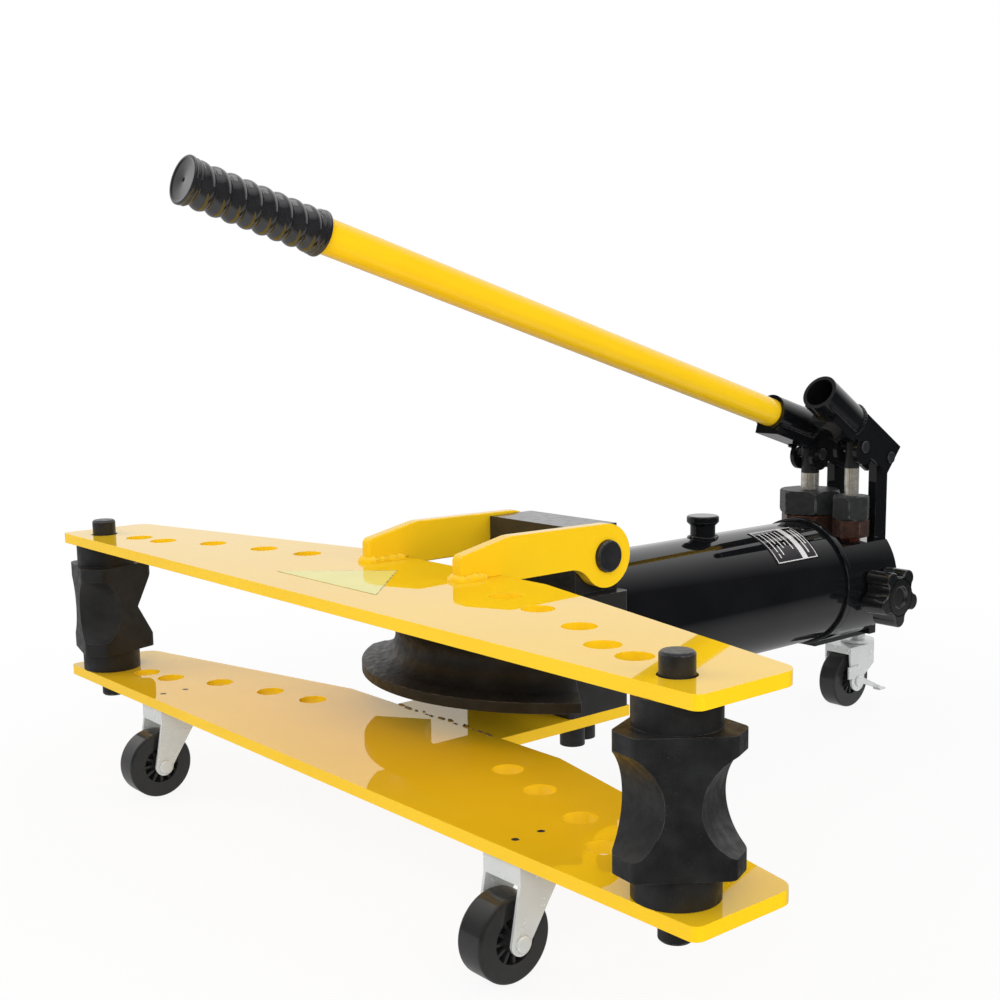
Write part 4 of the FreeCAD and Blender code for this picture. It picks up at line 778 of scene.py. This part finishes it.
# matte, for the camera nearly white and further out fully so, in reflections dark to one side
def floorFinish(look):
    material = bpy.data.materials.new("studio_floor")
    material.use_nodes = True
    tree = material.node_tree
    tree.nodes.clear()
    out = addNode(tree, "OutputMaterial")
    coords = addNode(tree, "TexCoord").outputs["Object"]
    matte = addNode(tree, "BsdfPrincipled", sockets={"Roughness": 0.8, "Specular IOR Level": 0.0})
    lighter = tuple(v + look["cloud"] for v in look["tone"])
    tone = mixColour(tree, noiseNode(tree, coords, look["cloudSize"]), look["tone"], lighter)
    tree.links.new(tone, matte.inputs["Base Color"])
    white = addNode(tree, "Emission", sockets={"Color": (1.0, 1.0, 1.0, 1.0), "Strength": 1.0})
    reach = addNode(tree, "VectorMath", {"operation": "LENGTH"})
    tree.links.new(coords, reach.inputs[0])
    clear = remap(tree, reach.outputs["Value"], look["clear"], 1.0, look["near"], look["far"])
    plain = addNode(tree, "MixShader")
    tree.links.new(clear, plain.inputs["Fac"])
    tree.links.new(matte.outputs[0], plain.inputs[1])
    tree.links.new(white.outputs[0], plain.inputs[2])
    side = addNode(tree, "SeparateXYZ")
    tree.links.new(coords, side.inputs[0])
    shade = remap(tree, side.outputs["X"], look["bright"], look["dark"], look["brightTo"], look["darkFrom"])
    mirrored = addNode(tree, "Emission", sockets={"Color": (1.0, 1.0, 1.0, 1.0)})
    tree.links.new(shade, mirrored.inputs["Strength"])
    path = addNode(tree, "LightPath")
    first = addNode(tree, "MixShader")
    tree.links.new(path.outputs["Is Camera Ray"], first.inputs["Fac"])
    tree.links.new(matte.outputs[0], first.inputs[1])
    tree.links.new(plain.outputs[0], first.inputs[2])
    second = addNode(tree, "MixShader")
    tree.links.new(path.outputs["Is Glossy Ray"], second.inputs["Fac"])
    tree.links.new(first.outputs[0], second.inputs[1])
    tree.links.new(mirrored.outputs[0], second.inputs[2])
    tree.links.new(second.outputs[0], out.inputs["Surface"])
    return material


# white for the camera and an even room for matte light
# reflections see a bright wall behind and a bright ceiling
def studioWorld(look):
    world = bpy.data.worlds.new("studio")
    bpy.context.scene.world = world
    world.use_nodes = True
    tree = world.node_tree
    tree.nodes.clear()
    out = addNode(tree, "OutputWorld")
    white = addNode(tree, "Background", sockets={"Color": (1.0, 1.0, 1.0, 1.0), "Strength": 1.0})
    room = addNode(tree, "Background", sockets={"Color": (1.0, 1.0, 1.0, 1.0), "Strength": look["room"]})
    mirrored = addNode(tree, "Background", sockets={"Color": (1.0, 1.0, 1.0, 1.0)})
    coords = addNode(tree, "TexCoord").outputs["Generated"]
    facing = addNode(tree, "VectorMath", {"operation": "DOT_PRODUCT"})
    facing.inputs[1].default_value = look["wall"]
    tree.links.new(coords, facing.inputs[0])
    wall = remap(
        tree, facing.outputs["Value"], look["dark"], look["bright"], look["wallFrom"], look["wallTo"])
    height = addNode(tree, "SeparateXYZ")
    tree.links.new(coords, height.inputs[0])
    ceiling = remap(
        tree, height.outputs["Z"], look["dark"], look["above"], look["ceilingFrom"], look["ceilingTo"])
    both = addNode(tree, "Math", {"operation": "MAXIMUM"})
    tree.links.new(wall, both.inputs[0])
    tree.links.new(ceiling, both.inputs[1])
    tree.links.new(both.outputs[0], mirrored.inputs["Strength"])
    path = addNode(tree, "LightPath")
    first = addNode(tree, "MixShader")
    tree.links.new(path.outputs["Is Glossy Ray"], first.inputs["Fac"])
    tree.links.new(room.outputs[0], first.inputs[1])
    tree.links.new(mirrored.outputs[0], first.inputs[2])
    second = addNode(tree, "MixShader")
    tree.links.new(path.outputs["Is Camera Ray"], second.inputs["Fac"])
    tree.links.new(first.outputs[0], second.inputs[1])
    tree.links.new(white.outputs[0], second.inputs[2])
    tree.links.new(second.outputs[0], out.inputs["Surface"])


def softLight(name, look):
    data = bpy.data.lights.new(name, "AREA")
    data.shape = "RECTANGLE"
    data.size, data.size_y = look["size"]
    data.energy = look["power"]
    lamp = bpy.data.objects.new(name, data)
    bpy.context.scene.collection.objects.link(lamp)
    lamp.location = look["place"]
    away = Vector(look["target"]) - Vector(look["place"])
    lamp.rotation_euler = away.to_track_quat("-Z", "Y").to_euler()
    lamp.visible_glossy = look["shines"]


view = {
    "place": at(958.0, -579.8, 449.3),
    "right": (0.64529, 0.76379, -0.01506), "up": (-0.11478, 0.11642, 0.98655),
    "ahead": (-0.75526, 0.63488, -0.16279),
    "lens": 50.488, "sensor": 36.0, "shift": (-0.00096, 0.0508), "clip": (0.01, 50.0),
}


def photoCamera(look):
    data = bpy.data.cameras.new("photo_camera")
    data.lens = look["lens"]
    data.sensor_width = look["sensor"]
    data.shift_x, data.shift_y = look["shift"]
    data.clip_start, data.clip_end = look["clip"]
    camera = bpy.data.objects.new("photo_camera", data)
    bpy.context.scene.collection.objects.link(camera)
    columns = (Vector(look["right"]), Vector(look["up"]), -Vector(look["ahead"]))
    matrix = Matrix(columns).transposed().to_4x4()
    matrix.translation = Vector(look["place"])
    camera.matrix_world = matrix
    bpy.context.scene.camera = camera


floorLook = {
    "steps": 24, "half": 9.0, "drop": 0.0002, "tone": (0.88, 0.88, 0.88), "cloud": 0.02, "cloudSize": 0.4,
    "clear": 0.90, "near": 0.55, "far": 1.05,
    "bright": 0.44, "dark": 0.03, "brightTo": 0.20, "darkFrom": 0.58,
}
worldLook = {
    "room": 0.60, "wall": (-0.766, 0.643, 0.0), "dark": 0.03, "bright": 1.0,
    "wallFrom": 0.10, "wallTo": 0.56, "above": 0.75, "ceilingFrom": 0.55, "ceilingTo": 0.90,
}
lamps = {
    "front_fill": {
        "place": (2.2, -2.4, 1.8), "target": (0.0, 0.0, 0.2), "size": (2.4, 1.8),
        "power": 47.0, "shines": False},
    "right_fill": {
        "place": (2.8, 0.6, 0.9), "target": (0.0, 0.0, 0.2), "size": (1.6, 1.6),
        "power": 22.0, "shines": False},
    "left_fill": {
        "place": (-1.8, -2.2, 1.6), "target": (0.0, 0.0, 0.2), "size": (1.6, 1.6),
        "power": 20.0, "shines": False},
    "top_box": {
        "place": (-0.3, 0.1, 2.6), "target": (0.0, 0.0, 0.1), "size": (0.7, 1.6),
        "power": 4.0, "shines": True},
}
studioFloor(floorLook)
studioWorld(worldLook)
for name, look in lamps.items():
    softLight(name, look)
photoCamera(view)
bpy.context.scene.view_settings.view_transform = "Standard"
print("studio made")
